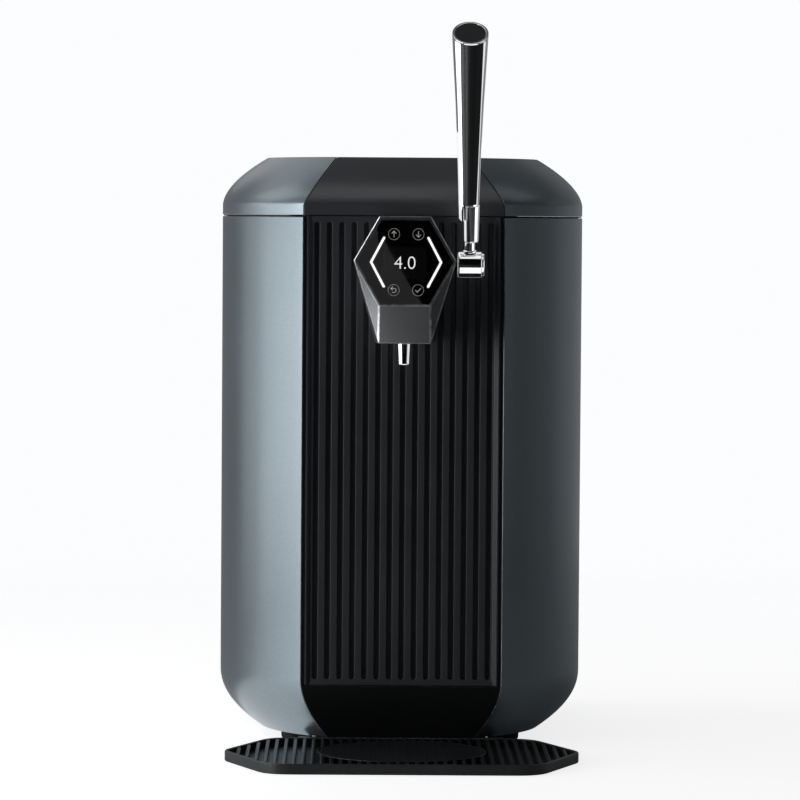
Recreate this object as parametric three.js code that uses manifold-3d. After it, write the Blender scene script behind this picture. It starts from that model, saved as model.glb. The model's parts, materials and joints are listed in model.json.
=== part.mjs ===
// Capsule beer machine: a counter-top keg cooler with a lever tap, a six-sided touch head and a
// six-sided drip tray. Millimetres, +Z up, +X to the viewer's right, the front faces -Y.
// Inside the machine group, Y is measured back from the plane of the ribbed front panel.
import * as THREE from "three";
import { ConvexGeometry } from "three/addons/geometries/ConvexGeometry.js";
import { mergeVertices } from "three/addons/utils/BufferGeometryUtils.js";
import Module from "manifold-3d";

const wasm = await Module();
wasm.setup();

// Driving dimensions
const gap = 0.3; // between two pieces that touch
const overrun = 6; // how far a cutter runs past what it cuts
const wall = 3; // moulded shells
const bodyWidth = 325;
const bodyDepth = 380;
const baseHeight = 8; // underside of the body above the counter
const seamHeight = 467.5; // where the lid meets the body
const lidHeight = 51.5; // from that seam to the lid's flat top
const bandWidth = 176; // black centre band
const trayDepth = 180; // front of the tray ahead of the front panel
const headDrop = 38.5; // centre of the six-sided face below the lid seam
const pivotDrop = 3.5; // lever axis below that centre

const bodyHalf = bodyWidth / 2;
const bandHalf = bandWidth / 2;
const topHeight = seamHeight + lidHeight;
const headHeight = seamHeight - headDrop;
const pivotHeight = headHeight - pivotDrop;

// Plan outline: a flat front, a kink at the band's edge, a wide arc, straight sides, round rear corners
const kinkCosShare = 0.503;
const kinkSinShare = Math.sqrt(1 - kinkCosShare ** 2);
const rearCornerRadius = 40;
const arcSteps = 8;
const cornerSteps = 4;

// How the body draws in towards the counter
const tuck = { height: 51, side: 38, front: 8, rear: 8, band: 24 };
const tuckPower = 2.3;
const tuckBandPower = 1.5;
const tuckShares = [0, 0.12, 0.26, 0.42, 0.6, 0.8];

// How the lid draws in towards its flat top
const crown = { start: 9, side: 40, front: 40, rear: 9, band: 28.5 };
const crownPower = 1.8;
const crownBandPower = 1.15;
const crownShares = [0, 0.18, 0.36, 0.54, 0.7, 0.85, 1];

// Front panel and plinth; the drop is how far the panel reaches below the top of the tuck
const panel = { drop: 4, back: 4, rib: 4, rebate: 3.2 };
const groove = { pitch: 10.85, width: 4.5, margin: 5.5 };

// Keg chamber: the keg sets the chamber, and foam takes up the depth that the body leaves round it
const keg = { radius: 80, height: 245, shoulder: 30, neck: 22, neckHeight: 12 };
const kegFootShare = 0.86; // foot ring as a share of the keg's radius
const chamber = { clear: 10, headroom: 52.7, skin: 1.5, flange: 6 };
const jacket = { side: 26.5, band: 60, clear: 3.5 };
const roomShares = { foamFront: 0.4, foamRear: 0.45, bayFront: 0.05 };
const deckThickness = 4;
const pressHeight = 6.1; // top of the gasket below the lid seam, filled by the lid's pressing rib
const gasket = { clear: 9.5, width: 7, height: 5 };
const coupler = { radius: 15, above: 11.7, flange: 23, flangeHeight: 6 };
const cartridge = { radius: 9, length: 62, neck: 4, neckLength: 8 };
const regulator = { width: 24, depth: 20, height: 26 };
const line = { radius: 4, bend: 11, rise: 1, port: 22.4, back: 20 };

// Cooling, in the bay behind the chamber
const compressor = { side: 11.2, radius: 44, flange: 52, flangeHeight: 6, height: 128, dome: 20 };
const fan = { height: 300, bore: 62, blade: 58, hub: 20, depth: 22, count: 7, shaft: 3, thickness: 2 };
const shroud = { half: 72, depth: 31, skin: 3, arm: 8, armDepth: 4 };
const condenser = { depth: 28, half: 70, fins: 10, fin: 1.6, tube: 4, rows: 2, plate: 3, pipeHalf: 58 };
const supply = { side: 16.2, canGap: 21, bayGap: 18, depth: 56, height: 74 };

// Head, its glass and its valve; heights in the chin are measured up from its underside
const head = { radius: 44, depth: 82, wall: 4.6, back: 4, chinSpread: 2.5, chinFrontSpread: 0.5 };
const chin = { drop: 71.4, setback: 8, pocketHalf: 18, pocketFront: 16, floor: 3.7, pocketHeight: 44.4 };
const glass = { inset: 2.3, thickness: 2.4 };
const guide = { edge: 11.3, run: 11.8, rise: 21.4, width: 1.9, depth: 0.8 };
const board = { inset: 4.4, thickness: 1.6, back: 10, post: 3 };
const nozzle = { setback: 27, length: 18.6, topRadius: 5.7, tipRadius: 4.6, bore: 2.5, lip: 1.2 };
const valve = { half: 9, height: 34.4, seat: 10.4 };
const plunger = { radius: 2.9, bottom: 26.4, cap: 6, capHeight: 3 };

// Tap lever, measured from the pivot axis along the lever
const lever = { clear: 2.4, lean: 10, shaft: 4, arm: 18, pad: 3, padHalf: 4, armHalf: 2.5 };
const barrel = { radius: 11, half: 10.1, chamfer: 1 };
const endCap = { radius: 9.6, thickness: 2.2, chamfer: 0.7 };
const neck = { flange: 5.7, flangeTop: 12.4, radius: 4.3, top: 20 };
const ferrule = { radius: 6.4, top: 52, chamfer: 0.8 };
const handle = { tongue: 37, tongueRadius: 8, collar: 55, top: 200, rim: 214, tilt: 26, insertBottom: 54 };
const handleHeights = { low: 98, middle: 142, high: 184 };
const handleRadii = { collar: 8.6, low: 10, middle: 12.2, high: 14.7, top: 15.6, rim: 16.2 };
const tongueTilt = -45;
const insertShares = { left: 0.57, right: 0.72 };
const insertDepth = 3.4;
const cap = { rim: 2.3, thickness: 2 };

// Drip tray
const tray = { tip: 154, half: 115, height: 9.2, wall: 2, floor: 1.6, ledge: 2, tongue: 12, tongueHalf: 90 };
const grid = { thickness: 2.2, rib: 4, slot: 4, margin: 5, disc: 72.5 };

// Base, feet, hinges, rear panel
const plateThickness = 4;
const foot = { radius: 14, top: 11, side: 15.6, front: 50, rear: 54, stem: 4, stemHeight: 3.4 };
const hinge = { x: 55, knuckle: 4, pin: 2, leaf: 2, length: 42, middle: 16, drop: 26, rise: 18 };
const vent = { count: 14, pitch: 9, height: 4, half: 58 };
const inlet = { side: 11, z: 86, half: 14, halfHeight: 10.5, depth: 24, recess: 16, skin: 2.5 };
const inletFlange = { half: 25, halfHeight: 15, thickness: 2.4 };
const blade = { half: 1, halfWidth: 2.2, length: 12, spread: 7 };

// How finely round forms are cut
const roundSteps = 28;
const middleSteps = 24;
const smallSteps = 12;
const handleSteps = 28;
const shoulderSteps = 5;
const endSteps = 4;
const lineSteps = 30;
const pipeSteps = 16;
const tubeSides = 8;
const pipeSides = 6;

// Closed solids

// A closed geometry as a solid, with its doubled corners merged and its collapsed faces dropped.
function solid(geometry) {
  const bare = geometry.index ? geometry.toNonIndexed() : geometry.clone();
  bare.deleteAttribute("normal");
  bare.deleteAttribute("uv");
  const merged = mergeVertices(bare);
  const kept = [];
  const corners = merged.index.array;
  for (let i = 0; i < corners.length; i += 3) {
    const [a, b, c] = corners.slice(i, i + 3);
    if (a !== b && b !== c && c !== a) kept.push(a, b, c);
  }
  return new wasm.Manifold(
    new wasm.Mesh({
      numProp: 3,
      vertProperties: merged.attributes.position.array,
      triVerts: new Uint32Array(kept),
    }),
  );
}

function geometryOf(made) {
  const data = made.getMesh();
  const geometry = new THREE.BufferGeometry();
  geometry.setAttribute("position", new THREE.BufferAttribute(data.vertProperties, 3));
  geometry.setIndex(new THREE.BufferAttribute(data.triVerts, 1));
  const flat = geometry.toNonIndexed();
  flat.computeVertexNormals();
  return flat;
}

const joined = (first, ...rest) => rest.reduce((sum, next) => sum.add(next), first);
const cut = (first, ...rest) => rest.reduce((sum, next) => sum.subtract(next), first);

// A block between two corners.
function block(x0, x1, y0, y1, z0, z1) {
  const geometry = new THREE.BoxGeometry(x1 - x0, y1 - y0, z1 - z0);
  geometry.translate((x0 + x1) / 2, (y0 + y1) / 2, (z0 + z1) / 2);
  return solid(geometry);
}

// A turned solid about an upright axis; the profile is a list of [radius, height].
function turned(profile, x = 0, y = 0, steps = roundSteps) {
  const points = profile.map(([radius, height]) => new THREE.Vector2(radius, height));
  const geometry = new THREE.LatheGeometry(points, steps);
  geometry.rotateX(Math.PI / 2);
  geometry.translate(x, y, 0);
  return solid(geometry);
}

// A turned solid about an axis along X or along Y; the profile is a list of [radius, place].
function turnedAlongX(profile, y, z, steps = roundSteps) {
  const points = profile.map(([radius, place]) => new THREE.Vector2(radius, place));
  const geometry = new THREE.LatheGeometry(points, steps);
  geometry.rotateZ(-Math.PI / 2);
  geometry.translate(0, y, z);
  return solid(geometry);
}

function turnedAlongY(profile, x, z, steps = roundSteps) {
  const points = profile.map(([radius, place]) => new THREE.Vector2(radius, place));
  const geometry = new THREE.LatheGeometry(points, steps);
  geometry.translate(x, 0, z);
  return solid(geometry);
}

const disc = (radius, from, to) => [[0, from], [radius, from], [radius, to], [0, to]];

const shapeOf = (points) => new THREE.Shape(points.map(([x, y]) => new THREE.Vector2(x, y)));

// An outline seen from above, raised from z0 to z1.
function raised(shape, z0, z1) {
  const geometry = new THREE.ExtrudeGeometry(shape, { depth: z1 - z0, bevelEnabled: false });
  geometry.translate(0, 0, z0);
  return solid(geometry);
}

// An outline seen from the front, running back from y0 to y1.
function frontal(shape, y0, y1) {
  const geometry = new THREE.ExtrudeGeometry(shape, { depth: y1 - y0, bevelEnabled: false });
  geometry.rotateX(Math.PI / 2);
  geometry.translate(0, y1, 0);
  return solid(geometry);
}

// A skin over closed rings of equal count, lowest first, each counter-clockwise from above.
function lofted(rings) {
  const count = rings[0].length;
  const last = (rings.length - 1) * count;
  const index = [];
  for (let base = 0; base < last; base += count)
    for (let i = 0; i < count; i++) {
      const next = (i + 1) % count;
      index.push(base + i, base + next, base + count + next);
      index.push(base + i, base + count + next, base + count + i);
    }
  const flat = (ring) => ring.map((p) => new THREE.Vector2(p.x, p.y));
  for (const [a, b, c] of THREE.ShapeUtils.triangulateShape(flat(rings[0]), [])) index.push(c, b, a);
  for (const [a, b, c] of THREE.ShapeUtils.triangulateShape(flat(rings.at(-1)), []))
    index.push(last + a, last + b, last + c);
  const geometry = new THREE.BufferGeometry().setFromPoints(rings.flat());
  geometry.setIndex(index);
  return solid(geometry);
}

// A tube along straight runs with round bends between them.
function tubeAlong(points, radius, bend, steps, sides = tubeSides) {
  const section = new THREE.Shape();
  for (let i = 0; i < sides; i++) {
    const angle = (i / sides) * 2 * Math.PI;
    const place = [radius * Math.cos(angle), radius * Math.sin(angle)];
    if (i) section.lineTo(...place);
    else section.moveTo(...place);
  }
  const corners = points.map((p) => new THREE.Vector3(...p));
  const route = new THREE.CurvePath();
  let from = corners[0];
  for (let i = 1; i < corners.length - 1; i++) {
    const towards = (end) => corners[i].clone().add(end.clone().sub(corners[i]).setLength(bend));
    const [before, after] = [towards(corners[i - 1]), towards(corners[i + 1])];
    route.add(new THREE.LineCurve3(from, before));
    route.add(new THREE.QuadraticBezierCurve3(before, corners[i], after));
    from = after;
  }
  route.add(new THREE.LineCurve3(from, corners.at(-1)));
  return solid(new THREE.ExtrudeGeometry(section, { steps, bevelEnabled: false, extrudePath: route }));
}

// Levels of the body and the lid

function bodyLevel(z) {
  const share = Math.max(0, 1 - (z - baseHeight) / tuck.height);
  const drawn = share ** tuckPower;
  return {
    z,
    half: bodyHalf - tuck.side * drawn,
    band: bandHalf - tuck.band * share ** tuckBandPower,
    front: tuck.front * drawn,
    rear: bodyDepth - tuck.rear * drawn,
  };
}

function lidLevel(share) {
  const start = seamHeight + crown.start;
  const drawn = share ** crownPower;
  return {
    z: start + (topHeight - start) * share,
    half: bodyHalf - crown.side * drawn,
    band: bandHalf - crown.band * share ** crownBandPower,
    front: crown.front * drawn,
    rear: bodyDepth - crown.rear * drawn,
  };
}

function frontArc({ half, band, front }) {
  const radius = (half - band) / (1 - kinkCosShare);
  return { radius, x: half - radius, y: front + radius * kinkSinShare };
}

// The right half of the plan outline from its front edge to its rear edge, drawn in by inset.
function sideLine(level, inset, frontEdge, rearEdge) {
  const arc = frontArc(level);
  const radius = arc.radius - inset;
  const start = Math.acos((frontEdge - arc.x) / radius);
  const rounding = Math.min(rearCornerRadius, level.half - rearEdge);
  const corner = rounding - inset;
  const points = [];
  for (let i = 0; i <= arcSteps; i++) {
    const angle = start * (1 - i / arcSteps);
    points.push([arc.x + radius * Math.cos(angle), arc.y - radius * Math.sin(angle)]);
  }
  for (let i = 0; i <= cornerSteps; i++) {
    const angle = (i / cornerSteps) * (Math.PI / 2);
    points.push([
      level.half - rounding + corner * Math.cos(angle),
      level.rear - rounding + corner * Math.sin(angle),
    ]);
  }
  points.push([rearEdge, level.rear - inset]);
  return points;
}

const atHeight = (points, z) => points.map(([x, y]) => new THREE.Vector3(x, y, z));

// How far out the front arc lies at a place behind the front.
function arcEdge(level, inset, y) {
  const arc = frontArc(level);
  return arc.x + Math.sqrt((arc.radius - inset) ** 2 - (arc.y - y) ** 2);
}

// The whole plan outline inside the shells, stopped short at the front.
function innerOutline(level, inset, frontLimit) {
  const right = sideLine(level, inset, arcEdge(level, inset, frontLimit), 0).slice(0, -1);
  const left = right.map(([x, y]) => [-x, y]).reverse();
  return shapeOf([...right, ...left]);
}

const bandRing = (half, y0, y1, z) => atHeight([[-half, y0], [half, y0], [half, y1], [-half, y1]], z);

// Body shells

const tuckTop = baseHeight + tuck.height;
const panelBottom = tuckTop - panel.drop;
const plinthTop = panelBottom - gap;
const tuckHeights = tuckShares.map((share) => baseHeight + tuck.height * share);
const plinthHeights = [...tuckHeights.filter((z) => z < plinthTop), plinthTop];
const shellHeights = [...new Set([...tuckHeights, plinthTop])].sort((a, b) => a - b);
shellHeights.push(tuckTop, seamHeight - gap);

function sideShell() {
  return lofted(
    shellHeights.map((z) => {
      const level = bodyLevel(z);
      const edge = level.band + gap;
      const outer = sideLine(level, 0, edge, edge);
      const inner = sideLine(level, wall, edge, edge).reverse();
      return atHeight([...outer, ...inner], z);
    }),
  );
}

// An upright slot with round ends.
function stadium(x, z0, z1, radius) {
  const shape = new THREE.Shape();
  shape.absarc(x, z1 - radius, radius, 0, Math.PI, false);
  shape.absarc(x, z0 + radius, radius, Math.PI, 2 * Math.PI, false);
  return new THREE.Shape(shape.getPoints(endSteps));
}

function rectangle(x0, x1, z0, z1) {
  return shapeOf([[x0, z0], [x1, z0], [x1, z1], [x0, z1]]);
}

const grooveRadius = groove.width / 2;
const lineHole = line.radius + gap;
const lineHeight = headHeight + line.rise;

// The way of the beer line through a wall, from y0 back to y1.
const lineBore = (y0, y1) => turnedAlongY(disc(lineHole, y0, y1), 0, lineHeight, smallSteps);

function frontPanel() {
  const top = seamHeight - gap;
  const inner = bandHalf - panel.rebate;
  const back = frontal(rectangle(-bandHalf, bandHalf, panelBottom, top), panel.rib, plinthDepth);
  const ribs = frontal(rectangle(-inner, inner, panelBottom, top), 0, panel.rib);
  const count = Math.floor((2 * inner) / groove.pitch);
  const cutters = [];
  for (let i = 0; i < count; i++) {
    const x = (i - (count - 1) / 2) * groove.pitch;
    const slot = stadium(x, panelBottom + groove.margin, top - groove.margin, grooveRadius);
    cutters.push(frontal(slot, -overrun, panel.rib));
  }
  return joined(back, cut(ribs, ...cutters)).subtract(lineBore(-overrun, plinthDepth + overrun));
}

const plinthDepth = panel.rib + panel.back;

function frontPlinth() {
  return lofted(
    plinthHeights.map((z) => {
      const level = bodyLevel(z);
      return bandRing(level.band, level.front, level.front + plinthDepth, z);
    }),
  );
}

const inletX = bandHalf - inlet.side - inletFlange.half;

function rearPanel() {
  const plate = lofted(
    shellHeights.map((z) => {
      const level = bodyLevel(z);
      return bandRing(level.band, level.rear - wall, level.rear, z);
    }),
  );
  const y0 = bodyDepth - wall - overrun;
  const y1 = bodyDepth + overrun;
  const bottom = fan.height - ((vent.count - 1) * vent.pitch + vent.height) / 2;
  const cutters = [];
  for (let i = 0; i < vent.count; i++) {
    const z = bottom + i * vent.pitch;
    cutters.push(block(-vent.half, vent.half, y0, y1, z, z + vent.height));
  }
  const x = inlet.half + gap;
  const z = inlet.halfHeight + gap;
  cutters.push(block(inletX - x, inletX + x, y0, y1, inlet.z - z, inlet.z + z));
  return cut(plate, ...cutters);
}

const baseLevel = bodyLevel(baseHeight);
const floorTop = baseHeight + plateThickness;
const footFront = baseLevel.front + foot.front;
const footX = arcEdge(baseLevel, wall + gap, footFront) - foot.side;
const footRear = baseLevel.rear - foot.rear;
const footPlaces = [[-footX, footFront], [footX, footFront], [-footX, footRear], [footX, footRear]];

function basePlate() {
  const front = baseLevel.front + plinthDepth + gap;
  const plate = raised(innerOutline(baseLevel, wall + gap, front), baseHeight, floorTop);
  const hole = disc(foot.stem + gap, 0, floorTop + overrun);
  const holes = footPlaces.map(([x, y]) => turned(hole, x, y, smallSteps));
  return cut(plate, ...holes);
}

function rubberFoot() {
  const top = baseHeight - gap;
  const stemTop = baseHeight + foot.stemHeight;
  return turned(
    [[0, 0], [foot.top, 0], [foot.radius, top / 2], [foot.radius, top], [foot.stem, top],
      [foot.stem, stemTop], [0, stemTop]],
    0, 0, smallSteps,
  );
}

// Keg chamber, worked out from the keg outwards and from the lid seam downwards

const chamberRadius = keg.radius + chamber.clear;
const linerRadius = chamberRadius + chamber.skin;
const jacketFront = tuck.front + plinthDepth + gap;
const spareRoom = bodyDepth - wall - jacketFront - 2 * linerRadius - 2 * compressor.flange;
const chamberY = jacketFront + spareRoom * roomShares.foamFront + linerRadius;
const jacketRear = chamberY + linerRadius + spareRoom * roomShares.foamRear;
const gasketTop = seamHeight - pressHeight;
const deckTop = gasketTop - gasket.height - gap;
const deckBottom = deckTop - deckThickness;
const linerTop = deckBottom - gap;
const jacketTop = linerTop - chamber.skin - gap;
const chamberFloor = jacketTop - chamber.headroom - keg.height;

// The foam steps in at the foot, where the shells are drawn in.
function insulationJacket() {
  const level = { band: jacket.band, front: jacketFront, rear: jacketRear };
  const lowHalf = baseLevel.half - wall - jacket.clear;
  const low = innerOutline({ ...level, half: lowHalf }, 0, jacketFront);
  const high = innerOutline({ ...level, half: linerRadius + jacket.side }, 0, jacketFront);
  const body = joined(raised(low, floorTop + gap, tuckTop), raised(high, tuckTop, jacketTop));
  const bore = turned(disc(linerRadius + gap, chamberFloor, jacketTop + overrun), 0, chamberY);
  return cut(body, bore, lineBore(-overrun, chamberY));
}

function chamberLiner() {
  const floor = chamberFloor + gap;
  const flange = linerRadius + chamber.flange;
  const under = linerTop - chamber.skin;
  const cup = turned(
    [[0, floor], [linerRadius, floor], [linerRadius, under], [flange, under], [flange, linerTop],
      [chamberRadius, linerTop], [chamberRadius, floor + chamber.skin], [0, floor + chamber.skin]],
    0, chamberY,
  );
  return cup.subtract(lineBore(-overrun, chamberY));
}

function topDeck() {
  const level = bodyLevel(seamHeight);
  const plate = raised(innerOutline(level, wall + gap, plinthDepth + gap), deckBottom, deckTop);
  const mouth = turned(disc(chamberRadius, deckBottom - overrun, deckTop + overrun), 0, chamberY);
  return plate.subtract(mouth);
}

// A ring of the gasket's width round the mouth of the chamber.
function mouthRing(z0, z1) {
  const middle = chamberRadius + gasket.clear;
  const inner = middle - gasket.width / 2;
  const outer = middle + gasket.width / 2;
  return turned([[inner, z0], [outer, z0], [outer, z1], [inner, z1], [inner, z0]], 0, chamberY);
}

const chamberGasket = () => mouthRing(deckTop + gap, gasketTop);

const kegBottom = chamberFloor + gap + chamber.skin + gap;
const kegTop = kegBottom + keg.height;

function miniKeg() {
  const { radius, shoulder, neck: throat, neckHeight } = keg;
  const footRadius = radius * kegFootShare;
  const crease = kegBottom + shoulder / 4;
  const profile = [
    [0, crease],
    [footRadius - neckHeight / 2, crease],
    [footRadius - neckHeight / 3, kegBottom],
    [footRadius, kegBottom],
    [footRadius, crease],
    [radius, kegBottom + shoulder / 2],
  ];
  const high = kegTop - neckHeight - shoulder;
  for (let i = 0; i <= shoulderSteps; i++) {
    const angle = (i / shoulderSteps) * (Math.PI / 2);
    profile.push([throat + (radius - throat) * Math.cos(angle), high + shoulder * Math.sin(angle)]);
  }
  profile.push([throat, kegTop], [0, kegTop]);
  return turned(profile, 0, chamberY, middleSteps);
}

const couplerBottom = kegTop + gap;
const couplerTop = lineHeight + coupler.above;
const couplerFlangeTop = couplerBottom + coupler.flangeHeight;

function kegCoupler() {
  const { radius, flange } = coupler;
  const body = turned(
    [[0, couplerBottom], [flange, couplerBottom], [flange, couplerFlangeTop], [radius, couplerFlangeTop],
      [radius, couplerTop], [0, couplerTop]],
    0, chamberY,
  );
  return body.subtract(lineBore(chamberY - radius - overrun, chamberY - radius / 2));
}

const regulatorFront = chamberY + coupler.radius + gap;
const regulatorBottom = couplerFlangeTop + gap;
const cartridgeY = regulatorFront + regulator.depth / 2;
const cartridgeZ = regulatorBottom + regulator.height / 2;

function gasRegulator() {
  const half = regulator.width / 2;
  const rear = regulatorFront + regulator.depth;
  const box = block(-half, half, regulatorFront, rear, regulatorBottom, regulatorBottom + regulator.height);
  const throat = disc(cartridge.neck + gap, half - cartridge.neckLength - gap, half + overrun);
  return box.subtract(turnedAlongX(throat, cartridgeY, cartridgeZ, smallSteps));
}

function gasCartridge() {
  const start = regulator.width / 2 - cartridge.neckLength;
  const body = regulator.width / 2 + gap;
  const { radius, neck: throat } = cartridge;
  const end = start + cartridge.length;
  return turnedAlongX(
    [[0, start], [throat, start], [throat, body], [radius, body + radius], [radius, end - radius / 2],
      [radius / 2, end], [0, end]],
    cartridgeY, cartridgeZ, smallSteps,
  );
}

const chinBottom = headHeight - chin.drop;
const nozzleY = nozzle.setback - head.depth;
const valveRear = nozzleY + valve.half;
const portHeight = chinBottom + line.port;

function beerLine() {
  const start = chamberY - coupler.radius / 2 - gap;
  const drop = -line.back;
  return tubeAlong(
    [[0, start, lineHeight], [0, drop, lineHeight], [0, drop, portHeight], [0, valveRear + gap, portHeight]],
    line.radius, line.bend, lineSteps,
  );
}

// Cooling

const panelInner = bodyDepth - wall - gap;
const bayFront = jacketRear + spareRoom * roomShares.bayFront;
const innerHalf = baseLevel.half - wall - gap;
const canX = compressor.flange + compressor.side - innerHalf;
const canY = bayFront + compressor.flange;
const canBottom = floorTop + gap;
const canTop = canBottom + compressor.height;

function compressorCan() {
  const { radius, flange, dome } = compressor;
  const flangeTop = canBottom + compressor.flangeHeight;
  return turned(
    [[0, canBottom], [flange, canBottom], [flange, flangeTop], [radius, flangeTop], [radius, canTop - dome],
      [radius - dome / 3, canTop - dome / 3], [radius - dome, canTop], [0, canTop]],
    canX, canY,
  );
}

const shroudFront = panelInner - shroud.depth;

function fanShroud() {
  const { half, skin, arm, armDepth } = shroud;
  const low = fan.height - half;
  const high = fan.height + half;
  const inner = half - skin;
  const reach = fan.bore + skin;
  const armFront = panelInner - armDepth;
  const box = block(-half, half, shroudFront, panelInner, low, high);
  const rotorFront = armFront - fan.depth - gap;
  const hollow = block(-inner, inner, shroudFront - overrun, rotorFront, low + skin, high - skin);
  const bore = turnedAlongY(disc(fan.bore, shroudFront - overrun, panelInner + overrun), 0, fan.height);
  const spokes = joined(
    block(-reach, reach, armFront, panelInner, fan.height - arm / 2, fan.height + arm / 2),
    block(-arm / 2, arm / 2, armFront, panelInner, fan.height - reach, fan.height + reach),
    turnedAlongY(disc(fan.hub, armFront, panelInner), 0, fan.height, smallSteps),
  );
  const shaftHole = disc(fan.shaft + gap, armFront - overrun, panelInner + overrun);
  return cut(joined(cut(box, hollow, bore), spokes), turnedAlongY(shaftHole, 0, fan.height, smallSteps));
}

const bladePitchShares = [0.5, 0.36, 0.26];

function fanRotor() {
  const y1 = panelInner - shroud.armDepth - gap;
  const y0 = y1 - fan.depth;
  const hub = turnedAlongY(disc(fan.hub, y0, y1), 0, fan.height);
  const shaft = turnedAlongY(disc(fan.shaft, y0, panelInner - gap), 0, fan.height, smallSteps);
  const chord = fan.depth / 2;
  const rings = bladePitchShares.map((share, k) => {
    const radius = fan.hub / 2 + ((fan.blade - fan.hub / 2) * k) / (bladePitchShares.length - 1);
    const angle = share * Math.PI;
    const along = [Math.cos(angle), Math.sin(angle)];
    const place = (u, v) => [u * along[0] - v * along[1], u * along[1] + v * along[0]];
    const half = fan.thickness / 2;
    const corners = [place(-chord, -half), place(chord, -half), place(chord, half), place(-chord, half)];
    return atHeight(corners, radius);
  });
  const blades = [];
  for (let i = 0; i < fan.count; i++) {
    const geometry = geometryOf(lofted(rings));
    geometry.rotateY((i / fan.count) * 2 * Math.PI);
    geometry.translate(0, (y0 + y1) / 2, fan.height);
    blades.push(solid(geometry));
  }
  return joined(hub, shaft, ...blades);
}

const condenserRear = shroudFront - gap;
const condenserMiddle = condenserRear - condenser.depth / 2;

function condenserPack() {
  const { depth, half, fins, fin, tube, rows, plate } = condenser;
  const y0 = condenserRear - depth;
  const low = fan.height - half;
  const high = fan.height + half;
  const pieces = [
    block(-half, -half + plate, y0, condenserRear, low, high),
    block(half - plate, half, y0, condenserRear, low, high),
  ];
  for (let i = 0; i < fins; i++) {
    const x = -half + plate + ((2 * half - 2 * plate) * (i + 1)) / (fins + 1);
    pieces.push(block(x - fin / 2, x + fin / 2, y0, condenserRear, low, high));
  }
  for (let i = 0; i < rows; i++) {
    const z = low + ((high - low) * (i + 1 / 2)) / rows;
    pieces.push(turnedAlongX(disc(tube, -half, half), condenserMiddle, z, pipeSides));
  }
  return joined(...pieces);
}

// From the top of the compressor to the underside of the condenser.
function refrigerantLine() {
  const top = canTop + gap;
  const x = -condenser.pipeHalf;
  const y = condenserMiddle;
  const end = fan.height - condenser.half - gap;
  const middle = (top + end) / 2;
  const bend = Math.hypot(x - canX, y - canY) / 2;
  return tubeAlong(
    [[canX, canY, top], [canX, canY, middle], [x, y, middle], [x, y, end]],
    condenser.tube, bend, pipeSteps,
  );
}

function powerSupply() {
  const x0 = canX + compressor.flange + supply.canGap;
  const y0 = bayFront + supply.bayGap;
  return block(x0, innerHalf - supply.side, y0, y0 + supply.depth, canBottom, canBottom + supply.height);
}

function powerInlet() {
  const { z, half, halfHeight, depth, recess, skin } = inlet;
  const x = inletX;
  const back = bodyDepth + gap + inletFlange.thickness;
  const flange = block(x - inletFlange.half, x + inletFlange.half, bodyDepth + gap, back,
    z - inletFlange.halfHeight, z + inletFlange.halfHeight);
  const body = block(x - half, x + half, bodyDepth - depth, back, z - halfHeight, z + halfHeight);
  const mouth = block(x - half + skin, x + half - skin, back - recess, back + overrun,
    z - halfHeight + skin, z + halfHeight - skin);
  const blades = [-blade.spread, 0, blade.spread].map((dx) =>
    block(x + dx - blade.half, x + dx + blade.half, back - recess - skin, back - recess + blade.length,
      z - blade.halfWidth, z + blade.halfWidth));
  return joined(cut(joined(flange, body), mouth), ...blades);
}

// Head

const headFront = -head.depth;
const headRear = -gap;
const glassRadius = head.radius - glass.inset;

function hexagon(radius, z = headHeight) {
  const points = [];
  for (let i = 0; i < 6; i++) {
    const angle = (i / 6) * 2 * Math.PI;
    points.push([radius * Math.cos(angle), z + radius * Math.sin(angle)]);
  }
  return points;
}

const chinFloor = chinBottom + chin.floor;

function headHousing() {
  const front = hexagon(head.radius).map(([x, z]) => new THREE.Vector3(x, headFront, z));
  const upper = hexagon(head.radius).filter(([, z]) => z > headHeight - head.radius / 2);
  const rear = upper.map(([x, z]) => new THREE.Vector3(x, headRear, z));
  const chinHalf = head.radius / 2 + head.chinSpread;
  const chinFront = head.radius / 2 + head.chinFrontSpread;
  const chinPoints = [-1, 1].flatMap((side) => [
    new THREE.Vector3(side * chinHalf, headRear, chinBottom),
    new THREE.Vector3(side * chinHalf, headFront / 2, chinBottom),
    new THREE.Vector3(side * chinFront, headFront + chin.setback, chinBottom),
  ]);
  const outside = solid(new ConvexGeometry([...front, ...rear, ...chinPoints]));
  const backWall = headRear - head.back;
  const hollow = frontal(shapeOf(hexagon(head.radius - head.wall)), headFront - overrun, backWall);
  const glassBack = headFront + glass.thickness + gap;
  const rebate = frontal(shapeOf(hexagon(glassRadius + gap)), headFront - overrun, glassBack);
  const pocketTop = chinBottom + chin.pocketHeight;
  const pocketFront = headFront + chin.pocketFront;
  const pocket = block(-chin.pocketHalf, chin.pocketHalf, pocketFront, backWall, chinFloor, pocketTop);
  const nozzleHole = turned(disc(nozzle.topRadius + gap, chinBottom - overrun, pocketTop), 0, nozzleY);
  const shaftWay = disc(lever.shaft + gap, 0, head.radius + overrun);
  const shaftHole = turnedAlongX(shaftWay, pivotY, pivotHeight, smallSteps);
  return cut(outside, hollow, rebate, pocket, nozzleHole, lineBore(backWall - overrun, overrun), shaftHole);
}

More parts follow.
